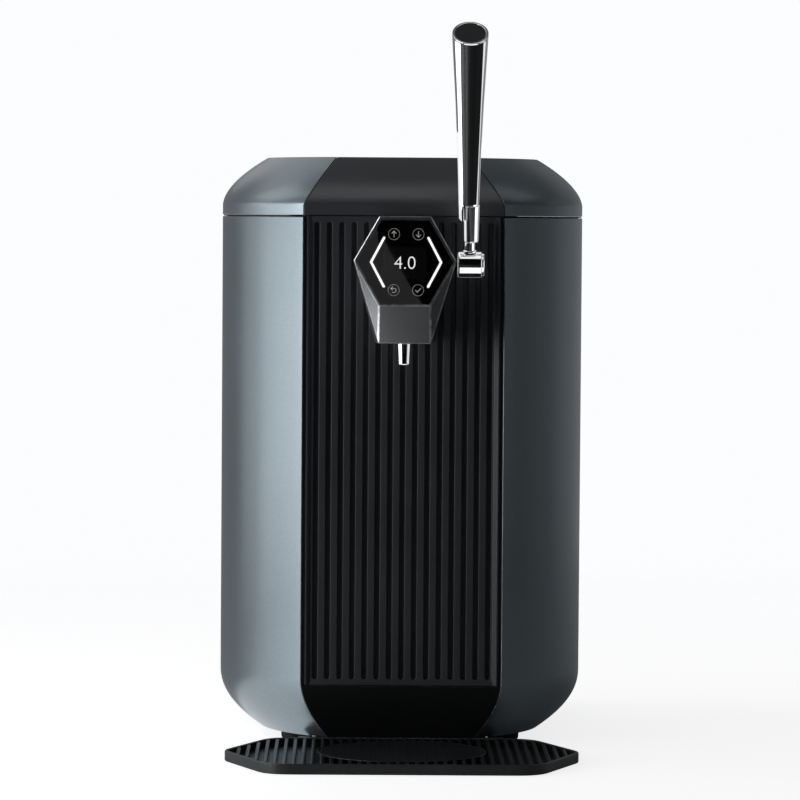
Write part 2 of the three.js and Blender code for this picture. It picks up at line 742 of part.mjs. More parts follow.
// A chevron that points outwards, as a closed outline of even width; clear widens and lengthens it.
function chevron(clear) {
  const { run, rise } = guide;
  const width = guide.width + 2 * clear;
  const tip = glassRadius - guide.edge;
  const slant = Math.hypot(run, rise);
  const end = tip - run - (clear * run) / slant;
  const reach = rise + (clear * rise) / slant;
  const across = ((width / 2) * rise) / slant;
  const upwards = ((width / 2) * run) / slant;
  const nose = ((width / 2) * slant) / rise;
  return shapeOf([
    [end - across, headHeight - reach + upwards],
    [end + across, headHeight - reach - upwards],
    [tip + nose, headHeight],
    [end + across, headHeight + reach + upwards],
    [end - across, headHeight + reach - upwards],
    [tip - nose, headHeight],
  ]);
}

function mirrored(made) {
  const geometry = geometryOf(made);
  geometry.scale(-1, 1, 1);
  const corners = geometry.attributes.position.array;
  for (let i = 0; i < corners.length; i += 9)
    for (let k = 0; k < 3; k++)
      [corners[i + 3 + k], corners[i + 6 + k]] = [corners[i + 6 + k], corners[i + 3 + k]];
  return solid(geometry);
}

function headGlass() {
  const plate = frontal(shapeOf(hexagon(glassRadius)), headFront, headFront + glass.thickness);
  const pocket = frontal(chevron(gap), headFront - overrun, headFront + guide.depth + gap);
  return cut(plate, pocket, mirrored(pocket));
}

const lightGuide = () => frontal(chevron(0), headFront, headFront + guide.depth);

function displayBoard() {
  const y0 = headFront + glass.thickness + gap;
  const y1 = y0 + board.back;
  const radius = head.radius - head.wall - board.inset;
  const plate = frontal(shapeOf(hexagon(radius)), y1, y1 + board.thickness);
  const posts = [0, 1, 2, 3, 4, 5].map((i) => {
    const angle = ((i + 1 / 2) / 6) * 2 * Math.PI;
    const reach = radius - 3 * board.post;
    return turnedAlongY(disc(board.post, y0 + gap, y1 + board.thickness / 2), reach * Math.cos(angle),
      headHeight + reach * Math.sin(angle), tubeSides);
  });
  return joined(plate, ...posts);
}

function nozzleSpout() {
  const bottom = chinBottom - nozzle.length;
  const { topRadius, tipRadius, bore, lip } = nozzle;
  return turned(
    [[bore, bottom], [tipRadius, bottom], [tipRadius + lip / 6, bottom + lip], [topRadius, chinBottom - gap],
      [topRadius, chinFloor], [bore, chinFloor], [bore, bottom]],
    0, nozzleY, middleSteps,
  );
}

function valveBody() {
  const z0 = chinFloor + gap;
  const seat = chinBottom + valve.seat;
  const top = chinBottom + valve.height;
  const body = block(-valve.half, valve.half, nozzleY - valve.half, valveRear, z0, top);
  const stem = turned(disc(plunger.radius + gap, seat, top + overrun), 0, nozzleY, smallSteps);
  const outlet = turned(disc(nozzle.bore, z0 - overrun, seat + overrun), 0, nozzleY, smallSteps);
  const port = disc(plunger.radius, nozzleY, valveRear + overrun);
  const inletBore = turnedAlongY(port, 0, portHeight, smallSteps);
  return cut(body, stem, outlet, inletBore);
}

const pivotY = nozzleY + lever.arm;
const leverX = head.radius + lever.clear + barrel.half;
const capTop = pivotHeight - lever.pad - gap;

function valvePlunger() {
  const { radius, cap: wide, capHeight } = plunger;
  const bottom = chinBottom + plunger.bottom;
  return turned(
    [[0, bottom], [radius, bottom], [radius, capTop - capHeight], [wide, capTop - capHeight], [wide, capTop],
      [0, capTop]],
    0, nozzleY, smallSteps,
  );
}

function leverShaft() {
  const start = -lever.armHalf;
  const end = leverX - barrel.half - gap;
  const shaft = turnedAlongX(disc(lever.shaft, start, end), pivotY, pivotHeight, smallSteps);
  const half = lever.armHalf;
  const arm = block(-half, half, nozzleY, pivotY, pivotHeight - half, pivotHeight + half);
  const pad = turnedAlongX(disc(lever.pad, -lever.padHalf, lever.padHalf), nozzleY, pivotHeight, smallSteps);
  return joined(shaft, arm, pad);
}

// Lever, upright about its own pivot

function leverBarrel() {
  const { radius, half, chamfer } = barrel;
  return turnedAlongX(
    [[0, -half], [radius - chamfer, -half], [radius, -half + chamfer], [radius, half], [0, half]], 0, 0,
  );
}

function leverEndCap() {
  const start = barrel.half + gap;
  const end = start + endCap.thickness;
  const { radius, chamfer } = endCap;
  const profile = [[0, start], [radius, start], [radius, end - chamfer], [radius - chamfer, end], [0, end]];
  return turnedAlongX(profile, 0, 0);
}

function leverNeck() {
  const reach = barrel.half + overrun;
  const barrelHollow = turnedAlongX(disc(barrel.radius + gap, -reach, reach), 0, 0);
  const { radius, flange, flangeTop } = neck;
  const top = neck.top - gap;
  const profile = [
    [0, radius], [flange, radius], [flange, flangeTop], [radius, flangeTop], [radius, top], [0, top],
  ];
  const body = turned(profile, 0, 0, smallSteps);
  return body.subtract(barrelHollow);
}

function leverFerrule() {
  const { radius, top, chamfer } = ferrule;
  return turned(
    [[0, neck.top], [radius - chamfer, neck.top], [radius, neck.top + chamfer], [radius, top], [0, top]],
    0, 0, middleSteps,
  );
}

// The outline goes on past the slanted top, which cuts it.
function handleProfile(bored) {
  const { tongue, tongueRadius, collar, top, rim } = handle;
  const r = handleRadii;
  const side = [
    [tongueRadius, tongue],
    [r.collar, collar],
    [r.low, handleHeights.low],
    [r.middle, handleHeights.middle],
    [r.high, handleHeights.high],
    [r.top, top],
    [r.rim, rim],
    [0, rim],
  ];
  const bore = ferrule.radius + gap;
  return bored
    ? [[0, ferrule.top + gap], [bore, ferrule.top + gap], [bore, tongue], ...side]
    : [[0, tongue], ...side];
}

// Everything above a plane through the axis at the given height, tipped about X.
function above(height, tilt, depth = 4 * handleRadii.rim) {
  const geometry = new THREE.BoxGeometry(depth, 2 * depth, depth);
  geometry.translate(0, 0, depth / 2);
  geometry.rotateX(THREE.MathUtils.degToRad(tilt));
  geometry.translate(0, 0, height);
  return solid(geometry);
}

// The channel that the black insert fills, tapering with the handle.
function insertChannel(clear) {
  const low = handle.insertBottom - clear;
  const high = handle.rim + overrun;
  const { left, right } = insertShares;
  const { collar, rim } = handleRadii;
  const outline = shapeOf([
    [-collar * left - clear, low],
    [collar * right + clear, low],
    [rim * right + clear, high],
    [-rim * left - clear, high],
  ]);
  return frontal(outline, -2 * rim, -insertDepth + clear);
}

function handleBody() {
  const whole = turned(handleProfile(true), 0, 0, handleSteps);
  const slanted = new THREE.BoxGeometry(4 * handleRadii.rim, handle.tongue, handle.tongue);
  slanted.translate(0, -handle.tongue / 2, -handle.tongue / 2);
  slanted.rotateX(THREE.MathUtils.degToRad(tongueTilt));
  slanted.translate(0, 0, handle.tongue);
  return cut(whole, above(handle.top, handle.tilt), insertChannel(gap), solid(slanted));
}

function handleInsert() {
  const whole = turned(handleProfile(false), 0, 0, handleSteps);
  return cut(whole.intersect(insertChannel(0)), above(handle.top, handle.tilt));
}

function ellipse(across, along) {
  const shape = new THREE.Shape();
  shape.absellipse(0, 0, across, along, 0, 2 * Math.PI, false, 0);
  return new THREE.Shape(shape.getPoints(middleSteps).slice(0, -1));
}

const capStretch = 1 / Math.cos(THREE.MathUtils.degToRad(handle.tilt));

function handleRing() {
  const { rim, thickness } = cap;
  const outer = handleRadii.top;
  const ring = raised(ellipse(outer, outer * capStretch), gap, gap + thickness);
  const opening = ellipse(outer - rim, outer * capStretch - rim);
  const hole = raised(opening, gap - overrun, gap + thickness + overrun);
  return ring.subtract(hole);
}

function handleDisc() {
  const inner = handleRadii.top - cap.rim - gap;
  const stretch = handleRadii.top * capStretch - cap.rim - gap;
  return raised(ellipse(inner, stretch), gap, cap.thickness);
}

// Lid

function lidShell(ringOf, innerRingOf) {
  const levels = crownShares.map(lidLevel);
  const foot0 = { ...levels[0], z: seamHeight + gap };
  const outer = lofted([foot0, ...levels].map(ringOf));
  const inner = lofted([{ ...foot0, z: foot0.z - overrun }, ...levels.map((l) => ({ ...l, z: l.z - wall }))]
    .map(innerRingOf));
  return outer.subtract(inner);
}

function lidSide() {
  return lidShell(
    (level) => atHeight(sideLine(level, 0, level.band + gap, level.band + gap), level.z),
    (level) => atHeight(sideLine(level, wall, level.band - overrun, level.band - overrun), level.z),
  );
}

function lidBand() {
  return lidShell(
    (level) => bandRing(level.band, level.front, level.rear, level.z),
    (level) => bandRing(bandHalf + overrun, level.front + wall, level.rear - wall, level.z),
  );
}

function lidLiner() {
  const bottom = seamHeight + gap;
  const top = seamHeight + crown.start - gap - wall;
  const plate = raised(innerOutline(lidLevel(0), wall + gap, wall + gap), bottom, top);
  return plate.add(mouthRing(gasketTop + gap, bottom + gap));
}

// Hinges

const hingeY = bodyDepth + gap + hinge.knuckle;
const hingeZ = seamHeight;

function knuckle(from, to) {
  return turnedAlongX(disc(hinge.knuckle, from, to), hingeY, hingeZ, smallSteps);
}

const pinBore = () => {
  const half = hinge.length / 2 + overrun;
  return turnedAlongX(disc(hinge.pin + gap, -half, half), hingeY, hingeZ, smallSteps);
};

function hingeBodyLeaf() {
  const half = hinge.length / 2;
  const inner = hinge.middle / 2 + gap;
  const y0 = bodyDepth + gap;
  const leaf = block(-half, half, y0, y0 + hinge.leaf, hingeZ - hinge.drop, hingeZ - hinge.knuckle - gap);
  const ears = [[-half, -inner], [inner, half]].flatMap(([x0, x1]) => [
    knuckle(x0, x1),
    block(x0, x1, y0, y0 + hinge.leaf, hingeZ - hinge.drop, hingeZ),
  ]);
  return cut(joined(leaf, ...ears), pinBore());
}

function hingeLidLeaf() {
  const half = hinge.length / 2;
  const inner = hinge.middle / 2 - gap;
  const y0 = bodyDepth + gap;
  const leaf = block(-half, half, y0, y0 + hinge.leaf, hingeZ + hinge.knuckle + gap, hingeZ + hinge.rise);
  const tab = block(-inner, inner, y0, y0 + hinge.leaf, hingeZ, hingeZ + hinge.rise);
  return cut(joined(leaf, tab, knuckle(-inner, inner)), pinBore());
}

function hingePin() {
  return turnedAlongX(disc(hinge.pin, -hinge.length / 2, hinge.length / 2), hingeY, hingeZ, smallSteps);
}

// Tray

const trayFront = -trayDepth;
const trayRear = -gap;
const trayCentre = (trayFront + trayRear) / 2;

function trayOutline(inset) {
  const half = tray.half - inset / 2;
  const front = trayFront + inset;
  const rear = trayRear - inset;
  return [
    [-half, front], [half, front], [tray.tip - inset, trayCentre], [half, rear], [-half, rear],
    [-tray.tip + inset, trayCentre],
  ];
}

const gridBottom = tray.height - grid.thickness;

function trayPan() {
  const rim = raised(shapeOf(trayOutline(0)), 0, tray.height);
  const seat = raised(shapeOf(trayOutline(tray.wall)), gridBottom - gap, tray.height + overrun);
  const well = raised(shapeOf(trayOutline(tray.wall + tray.ledge)), tray.floor, tray.height + overrun);
  const tongueRear = trayRear + tray.tongue + tuck.front;
  const half = tray.tongueHalf;
  const tongue = block(-half, half, trayRear - tray.wall, tongueRear, 0, baseHeight - gap);
  return joined(cut(rim, seat, well), tongue.subtract(well));
}

// Half of the width that the tray outline leaves at a place along its length.
function gridReach(x, inset) {
  const slope = (tray.tip - tray.half) / ((trayRear - trayFront) / 2);
  const side = (tray.tip - inset - Math.abs(x)) / slope;
  return Math.min((trayRear - trayFront) / 2 - inset, side);
}

function dripGrid() {
  const inset = tray.wall + gap;
  const plate = raised(shapeOf(trayOutline(inset)), gridBottom, tray.height - gap);
  const pitch = grid.rib + grid.slot;
  const margin = inset + grid.margin;
  const reach = Math.floor((tray.tip - margin - grid.slot) / pitch);
  const cutters = [];
  for (let i = -reach; i <= reach; i++) {
    const x = i * pitch;
    const half = gridReach(Math.abs(x) + grid.slot / 2, margin);
    const inner = Math.abs(x) - grid.slot / 2;
    const shadow = Math.abs(x) < grid.disc ? Math.sqrt(grid.disc ** 2 - inner ** 2) : 0;
    const cuts = shadow ? [[-half, -shadow], [shadow, half]] : [[-half, half]];
    for (const [y0, y1] of cuts) {
      if (y1 - y0 < grid.slot) continue;
      const [left, right] = [x - grid.slot / 2, x + grid.slot / 2];
      cutters.push(block(left, right, trayCentre + y0, trayCentre + y1, 0, tray.height + overrun));
    }
  }
  return cut(plate, ...cutters);
}

// Materials

function finish(color, roughness, metalness = 0) {
  return new THREE.MeshStandardMaterial({ color, roughness, metalness });
}

const paint = finish(0x8b98a3, 0.35, 0.6);
const black = finish(0x1b1e21, 0.45);
const glossBlack = finish(0x0b0c0e, 0.08);
const chrome = finish(0xd5d8da, 0.1, 1);
const steel = finish(0xb6b8ba, 0.3, 1);
const aluminium = finish(0xc4c7c9, 0.4, 1);
const brass = finish(0xb08d4a, 0.3, 1);
const rubber = finish(0x1a1a1a, 0.9);
const foam = finish(0xd8cfae, 0.95);
const moulding = finish(0x2b2e31, 0.6);
const lightPipe = finish(0xf4f7fa, 0.4);
const circuit = finish(0x1f5a3a, 0.6);
const canBlack = finish(0x202224, 0.5, 0.3);
const lineTube = finish(0xdfe3e4, 0.4);

// The assembly

const machine = new THREE.Group();
const lidGroup = new THREE.Group();
const leverGroup = new THREE.Group();
const trayGroup = new THREE.Group();
const capGroup = new THREE.Group();

function add(name, made, material, group = machine) {
  const mesh = new THREE.Mesh(geometryOf(made), material);
  mesh.name = name;
  group.add(mesh);
  return mesh;
}

// One piece on each side of the middle, the left one mirrored.
function addPair(name, made, material, group = machine) {
  add(name + "_right", made, material, group);
  add(name + "_left", made, material, group).scale.x = -1;
}

addPair("side_shell", sideShell(), paint);
add("front_panel", frontPanel(), black);
add("front_plinth", frontPlinth(), black);
add("rear_panel", rearPanel(), black);
add("base_plate", basePlate(), moulding);
const footNames = ["foot_front_left", "foot_front_right", "foot_rear_left", "foot_rear_right"];
footPlaces.forEach(([x, y], i) => add(footNames[i], rubberFoot(), rubber).position.set(x, y, 0));

add("insulation_jacket", insulationJacket(), foam);
add("chamber_liner", chamberLiner(), aluminium);
add("top_deck", topDeck(), moulding);
add("chamber_gasket", chamberGasket(), rubber);
add("mini_keg", miniKeg(), steel);
add("keg_coupler", kegCoupler(), moulding);
add("gas_regulator", gasRegulator(), brass);
add("gas_cartridge", gasCartridge(), steel);
add("beer_line", beerLine(), lineTube);

add("compressor", compressorCan(), canBlack);
add("fan_shroud", fanShroud(), moulding);
add("fan_rotor", fanRotor(), black);
add("condenser", condenserPack(), aluminium);
add("refrigerant_line", refrigerantLine(), brass);
add("power_supply", powerSupply(), aluminium);
add("power_inlet", powerInlet(), moulding);

add("head_housing", headHousing(), black);
add("head_glass", headGlass(), glossBlack);
addPair("light_guide", lightGuide(), lightPipe);
add("display_board", displayBoard(), circuit);
add("nozzle", nozzleSpout(), chrome);
add("valve_body", valveBody(), brass);
add("valve_plunger", valvePlunger(), steel);
add("lever_shaft", leverShaft(), steel);

add("lever_barrel", leverBarrel(), chrome, leverGroup);
add("lever_end_cap", leverEndCap(), chrome, leverGroup);
add("lever_neck", leverNeck(), chrome, leverGroup);
add("lever_ferrule", leverFerrule(), chrome, leverGroup);
add("handle_body", handleBody(), chrome, leverGroup);
add("handle_insert", handleInsert(), black, leverGroup);
add("handle_ring", handleRing(), chrome, capGroup);
add("handle_disc", handleDisc(), glossBlack, capGroup);
capGroup.position.z = handle.top;
capGroup.rotation.x = THREE.MathUtils.degToRad(handle.tilt);
leverGroup.add(capGroup);
leverGroup.position.set(leverX, pivotY, pivotHeight);
leverGroup.rotation.x = THREE.MathUtils.degToRad(lever.lean);
machine.add(leverGroup);

addPair("lid_side", lidSide(), paint, lidGroup);
add("lid_band", lidBand(), black, lidGroup);
add("lid_liner", lidLiner(), moulding, lidGroup);
machine.add(lidGroup);

for (const [side, x] of [["left", -hinge.x], ["right", hinge.x]]) {
  add("hinge_body_leaf_" + side, hingeBodyLeaf(), steel).position.x = x;
  add("hinge_pin_" + side, hingePin(), steel).position.x = x;
  add("hinge_lid_leaf_" + side, hingeLidLeaf(), steel, lidGroup).position.x = x;
}

add("tray_pan", trayPan(), black, trayGroup);
add("drip_grid", dripGrid(), canBlack, trayGroup);
machine.add(trayGroup);

// The origin is under the middle of the whole machine, tray and hinges included.
const wholeDepth = trayDepth + hingeY + hinge.knuckle;
machine.position.y = trayDepth - wholeDepth / 2;

const part = new THREE.Group();
part.add(machine);
export default part;
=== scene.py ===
"""Looks of the capsule beer machine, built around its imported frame.

Lengths are in metres. Places are written with y measured back from the front plane of the
ribbed panel, and the function at() puts them into the frame.
"""

import json
import math
from contextlib import contextmanager

import bmesh
import bpy
from bpy.props import (
    FloatProperty, FloatVectorProperty, IntProperty, PointerProperty, StringProperty)
from mathutils import Matrix, Vector

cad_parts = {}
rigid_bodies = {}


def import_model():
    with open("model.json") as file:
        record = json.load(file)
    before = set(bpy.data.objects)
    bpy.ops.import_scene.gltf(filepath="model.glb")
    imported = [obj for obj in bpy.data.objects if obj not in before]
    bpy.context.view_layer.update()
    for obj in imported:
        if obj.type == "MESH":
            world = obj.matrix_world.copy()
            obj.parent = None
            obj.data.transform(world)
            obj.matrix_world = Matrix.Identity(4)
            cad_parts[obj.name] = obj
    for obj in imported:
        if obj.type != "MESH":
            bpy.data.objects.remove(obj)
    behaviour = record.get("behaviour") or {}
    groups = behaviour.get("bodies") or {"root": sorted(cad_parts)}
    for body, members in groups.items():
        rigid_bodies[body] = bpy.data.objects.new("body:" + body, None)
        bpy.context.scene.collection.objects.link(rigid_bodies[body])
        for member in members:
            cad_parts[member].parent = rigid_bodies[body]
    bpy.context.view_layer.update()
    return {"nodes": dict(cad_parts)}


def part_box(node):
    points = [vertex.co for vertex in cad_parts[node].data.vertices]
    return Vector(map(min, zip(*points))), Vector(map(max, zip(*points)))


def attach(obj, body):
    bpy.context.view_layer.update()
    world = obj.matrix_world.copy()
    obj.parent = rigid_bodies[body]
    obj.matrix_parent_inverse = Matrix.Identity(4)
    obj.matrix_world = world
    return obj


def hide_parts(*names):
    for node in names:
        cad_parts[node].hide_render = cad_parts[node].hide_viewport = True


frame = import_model()

bl_info = {
    "name": "Capsule beer machine",
    "version": (1, 0, 0),
    "blender": (4, 5, 0),
    "location": "3D View > Sidebar > Beer machine",
    "description": "Builds the looks of a counter-top beer machine around its packed frame",
    "category": "Object",
}

NODES = frame["nodes"]


def low(node):
    """Lowest corner of a CAD node."""
    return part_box(node)[0]


def high(node):
    """Highest corner of a CAD node."""
    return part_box(node)[1]


def centre_of(node):
    """Middle of a CAD node's box, as x, y and z."""
    return [(first + last) / 2 for first, last in zip(low(node), high(node))]


# Clearance between neighbouring pieces
GAP = 0.0003

# Places that the frame gives
FRONT = low("front_panel").y
BASE = low("side_shell_right").z
SEAM = high("side_shell_right").z + GAP
TOP = high("lid_band").z
HALF = high("side_shell_right").x
BAND = high("front_panel").x
DEPTH = high("rear_panel").y - FRONT
PANEL_BOTTOM = low("front_panel").z
HEAD_FRONT = low("head_housing").y - FRONT
HEAD_RADIUS = high("head_housing").x
HEAD_HEIGHT = centre_of("head_glass")[2]
CHIN_BOTTOM = low("head_housing").z
GLASS_RADIUS = high("head_glass").x
NOZZLE_Y = centre_of("nozzle")[1] - FRONT
TRAY_TIP = high("tray_pan").x
TRAY_FRONT = low("tray_pan").y - FRONT
TRAY_REAR = high("tray_pan").y - FRONT
TRAY_TOP = high("tray_pan").z
TRAY_MIDDLE = (TRAY_FRONT - GAP) / 2

# The tap lever leans about the middle of its barrel
PIVOT = Vector(centre_of("lever_barrel"))


class BodySizes(bpy.types.PropertyGroup):
    """Sizes of the body and its lid."""

    wall: FloatProperty(
        name="Wall", description="Thickness of the painted shells", default=0.003, unit="LENGTH")
    tuck_height: FloatProperty(
        name="Tuck height", description="How high the tucked-in foot reaches", default=0.051,
        unit="LENGTH")
    tuck_side: FloatProperty(
        name="Tuck side", description="How far the foot is drawn in at the side", default=0.038,
        unit="LENGTH")
    tuck_front: FloatProperty(
        name="Tuck front", description="How far the foot is drawn in at the front", default=0.008,
        unit="LENGTH")
    tuck_band: FloatProperty(
        name="Tuck band", description="How much the black band narrows at the foot", default=0.024,
        unit="LENGTH")
    tuck_power: FloatProperty(name="Tuck curve", description="How late the foot curves in", default=2.3)
    tuck_band_power: FloatProperty(
        name="Tuck band curve", description="How late the band narrows at the foot", default=1.8)
    crown_start: FloatProperty(
        name="Crown start", description="Upright part of the lid above the seam", default=0.009,
        unit="LENGTH")
    crown_side: FloatProperty(
        name="Crown side", description="How far the lid is drawn in at the side", default=0.04,
        unit="LENGTH")
    crown_front: FloatProperty(
        name="Crown front", description="How far the lid is drawn in at the front", default=0.04,
        unit="LENGTH")
    crown_rear: FloatProperty(
        name="Crown rear", description="How far the lid is drawn in at the rear", default=0.009,
        unit="LENGTH")
    crown_band: FloatProperty(
        name="Crown band", description="How much the black band narrows at the top", default=0.0285,
        unit="LENGTH")
    crown_power: FloatProperty(name="Crown curve", description="How late the lid curves in", default=1.8)
    crown_band_power: FloatProperty(
        name="Crown band curve", description="How late the band narrows in the lid", default=1.15)
    crown_round: FloatProperty(
        name="Crown rounding", description="Rounding between the lid's slope and its flat top",
        default=0.007, unit="LENGTH")
    kink: FloatProperty(
        name="Kink", description="Cosine of the angle at which a shell meets the black band",
        default=0.503)
    rear_corner: FloatProperty(
        name="Rear corner", description="Radius of the shells' rear corners", default=0.04,
        unit="LENGTH")
    edge: FloatProperty(
        name="Edge rounding", description="Rounding of the shells' edges", default=0.0007, unit="LENGTH")
    band_rounding: FloatProperty(
        name="Band rounding", description="Rounding of the lid band's long edges", default=0.0024,
        unit="LENGTH")
    seam_gap: FloatProperty(
        name="Seam gap", description="Height of the dark gap under the lid", default=0.0016,
        unit="LENGTH")
    arc_steps: IntProperty(
        name="Arc steps", description="Faces along the shell's front curve", default=28)
    corner_steps: IntProperty(
        name="Corner steps", description="Faces along the shell's rear corner", default=14)
    level_steps: IntProperty(
        name="Level steps", description="Faces up the tuck and the crown", default=22)


class PanelSizes(bpy.types.PropertyGroup):
    """Sizes of the ribbed front panel and the rear vents."""

    pitch: FloatProperty(
        name="Groove pitch", description="From one groove to the next", default=0.01085, unit="LENGTH")
    width: FloatProperty(
        name="Groove width", description="Width of a groove", default=0.0045, unit="LENGTH")
    depth: FloatProperty(
        name="Groove depth", description="Depth of a groove", default=0.004, unit="LENGTH")
    margin: FloatProperty(
        name="Groove margin", description="From a groove's end to the panel's edge", default=0.0055,
        unit="LENGTH")
    rebate: FloatProperty(
        name="Rebate", description="Width of the low strip along each side of the panel", default=0.0032,
        unit="LENGTH")
    thickness: FloatProperty(
        name="Thickness", description="Thickness of the whole panel", default=0.008, unit="LENGTH")
    rounding: FloatProperty(
        name="Rib rounding", description="Rounding of the ribs' edges", default=0.0006, unit="LENGTH")
    count: IntProperty(name="Grooves", description="How many grooves the panel has", default=15)


class HeadSizes(bpy.types.PropertyGroup):
    """Sizes of the touch head."""

    chin_half: FloatProperty(
        name="Chin half width", description="Half width of the chin's underside", default=0.0245,
        unit="LENGTH")
    chin_front_half: FloatProperty(
        name="Chin front half width", description="Half width of the chin's front edge", default=0.0225,
        unit="LENGTH")
    chin_setback: FloatProperty(
        name="Chin setback", description="How far the chin's lower edge lies behind the glass",
        default=0.008, unit="LENGTH")
    edge: FloatProperty(
        name="Edge rounding", description="Rounding of the head's edges", default=0.001, unit="LENGTH")
    glass_drop: FloatProperty(
        name="Glass drop", description="How far the glass sits below the head's middle", default=0.0012,
        unit="LENGTH")
    glass_thickness: FloatProperty(
        name="Glass thickness", description="Thickness of the touch glass", default=0.0024, unit="LENGTH")
    glow_width: FloatProperty(
        name="Light width", description="Width of the two lit chevrons", default=0.0017, unit="LENGTH")
    chevron_shift: FloatProperty(
        name="Light shift", description="How far the two lit chevrons stand to the right", default=0.0009,
        unit="LENGTH")
    key_radius: FloatProperty(
        name="Key radius", description="Radius of the ring round each touch key", default=0.0048,
        unit="LENGTH")


class LeverSizes(bpy.types.PropertyGroup):
    """Sizes of the tap lever and its handle, measured up from its pivot."""

    lean: FloatProperty(
        name="Lean", description="How far the lever leans to the front at rest",
        default=math.radians(10), subtype="ANGLE")
    top: FloatProperty(
        name="Handle top", description="Where the slanted top cuts the axis", default=0.2, unit="LENGTH")
    tilt: FloatProperty(
        name="Top tilt", description="Slant of the handle's top", default=math.radians(26),
        subtype="ANGLE")
    offset: FloatProperty(
        name="Handle offset", description="How far the handle stands to the left of the lever's axis",
        default=0.0012, unit="LENGTH")
    side_lean: FloatProperty(
        name="Side lean", description="How far the handle leans to the left",
        default=math.radians(0.18), subtype="ANGLE")
    sleeve_shift: FloatProperty(
        name="Sleeve shift", description="How far the sleeve stands to the right of the lever's axis",
        default=0.0012, unit="LENGTH")
    insert_depth: FloatProperty(
        name="Insert depth", description="How far behind its axis the handle's black insert ends",
        default=0.0034, unit="LENGTH")
    steps: IntProperty(name="Turning steps", description="Faces round a turned piece", default=96)


class TraySizes(bpy.types.PropertyGroup):
    """Sizes of the drip tray and its grid."""

    rib: FloatProperty(name="Rib", description="Width of a grid rib", default=0.0032, unit="LENGTH")
    pitch: FloatProperty(
        name="Rib pitch", description="From one grid rib to the next", default=0.008, unit="LENGTH")
    disc: FloatProperty(
        name="Plate radius", description="Radius of the flat round plate on the grid", default=0.0725,
        unit="LENGTH")
    frame: FloatProperty(
        name="Frame", description="Width of the grid's outer frame", default=0.0013, unit="LENGTH")
    rounding: FloatProperty(
        name="Corner rounding", description="How far the tray's corners are rounded", default=0.02,
        unit="LENGTH")
    front_half: FloatProperty(
        name="Front half width", description="Half width of the tray's straight front edge",
        default=0.115, unit="LENGTH")
    ribs: IntProperty(name="Ribs", description="How many ribs the grid has", default=36)


class FinishColours(bpy.types.PropertyGroup):
    """Colours that a user would change."""

    paint: FloatVectorProperty(
        name="Shell paint", description="Metallic paint of the side shells", size=3, subtype="COLOR",
        default=(0.215, 0.262, 0.292), min=0, max=1)
    black: FloatVectorProperty(
        name="Black moulding", description="Black plastic of the panel, the plinth and the lid's band",
        size=3, subtype="COLOR", default=(0.05, 0.056, 0.063), min=0, max=1)
    head: FloatVectorProperty(
        name="Head", description="Satin paint of the touch head", size=3, subtype="COLOR",
        default=(0.14, 0.145, 0.152), min=0, max=1)
    light: FloatVectorProperty(
        name="Lit chevrons", description="Light of the chevrons and of the display", size=3,
        subtype="COLOR", default=(1.0, 0.985, 0.96), min=0, max=1)
    floor: FloatVectorProperty(
        name="Floor", description="Pale floor of the studio", size=3, subtype="COLOR",
        default=(0.86, 0.86, 0.86), min=0, max=1)


class MachineSettings(bpy.types.PropertyGroup):
    """Everything that a user would change about the machine."""

    body: PointerProperty(type=BodySizes, name="Body", description="Sizes of the body and its lid")
    panel: PointerProperty(type=PanelSizes, name="Panel", description="Sizes of the ribbed panel")
    head: PointerProperty(type=HeadSizes, name="Head", description="Sizes of the touch head")
    lever: PointerProperty(type=LeverSizes, name="Lever", description="Sizes of the tap lever")
    tray: PointerProperty(type=TraySizes, name="Tray", description="Sizes of the drip tray")
    colours: PointerProperty(type=FinishColours, name="Colours", description="Colours of the finishes")
    reading: StringProperty(
        name="Reading", description="Plain number that the display shows", default="4.0")


def settings():
    """The machine's settings."""
    return bpy.context.scene.beer_machine


def at(x, y, z):
    """A place in the frame; y is measured back from the front plane of the ribbed panel."""
    return Vector((x, y + FRONT, z))


# Node trees of the finishes


class Tree:
    """A node tree that is written one node at a time."""

    def __init__(self, tree):
        self.tree = tree

    def node(self, kind, options=None, **inputs):
        """Adds a node; an input may be a plain value, an Amount or another node's output."""
        made = self.tree.nodes.new(kind)
        for name, value in (options or {}).items():
            setattr(made, name, value)
        for name, value in inputs.items():
            self.feed(made.inputs[name.replace("_", " ")], value)
        return made

    def feed(self, socket, value):
        """Links an output to an input, or sets the input's own value."""
        if isinstance(value, Amount):
            value = value.socket
        if isinstance(value, bpy.types.NodeSocket):
            self.tree.links.new(value, socket)
        else:
            socket.default_value = value

    def maths(self, operation, *values):
        """One step of arithmetic."""
        made = self.tree.nodes.new("ShaderNodeMath")
        made.operation = operation
        for place, value in enumerate(values):
            self.feed(made.inputs[place], value)
        return made.outputs[0]

    def blend(self, share, first, second):
        """Mixes two colours."""
        made = self.tree.nodes.new("ShaderNodeMix")
        made.data_type = "RGBA"
        self.feed(made.inputs["Factor"], share)
        self.feed(made.inputs[6], first)
        self.feed(made.inputs[7], second)
        return made.outputs[2]

    def spread(self, value, low_end, high_end, start=0.3, end=0.7):
        """Maps a grain value to a range."""
        made = self.node("ShaderNodeMapRange", Value=value)
        for name, number in (("From Min", start), ("From Max", end),
                             ("To Min", low_end), ("To Max", high_end)):
            made.inputs[name].default_value = number
        return made.outputs[0]

    def noise(self, place, scale, detail=2.0, roughness=0.5):
        """Grain at a scale in waves a metre."""
        made = self.node("ShaderNodeTexNoise", Vector=place, Scale=scale, Detail=detail,
                         Roughness=roughness)
        return made.outputs["Fac"]


def rgba(colour, gain=1.0):
    """A colour with its alpha, brightened by gain."""
    return (*[min(1.0, part * gain) for part in colour[:3]], 1.0)


LOOKS = {}


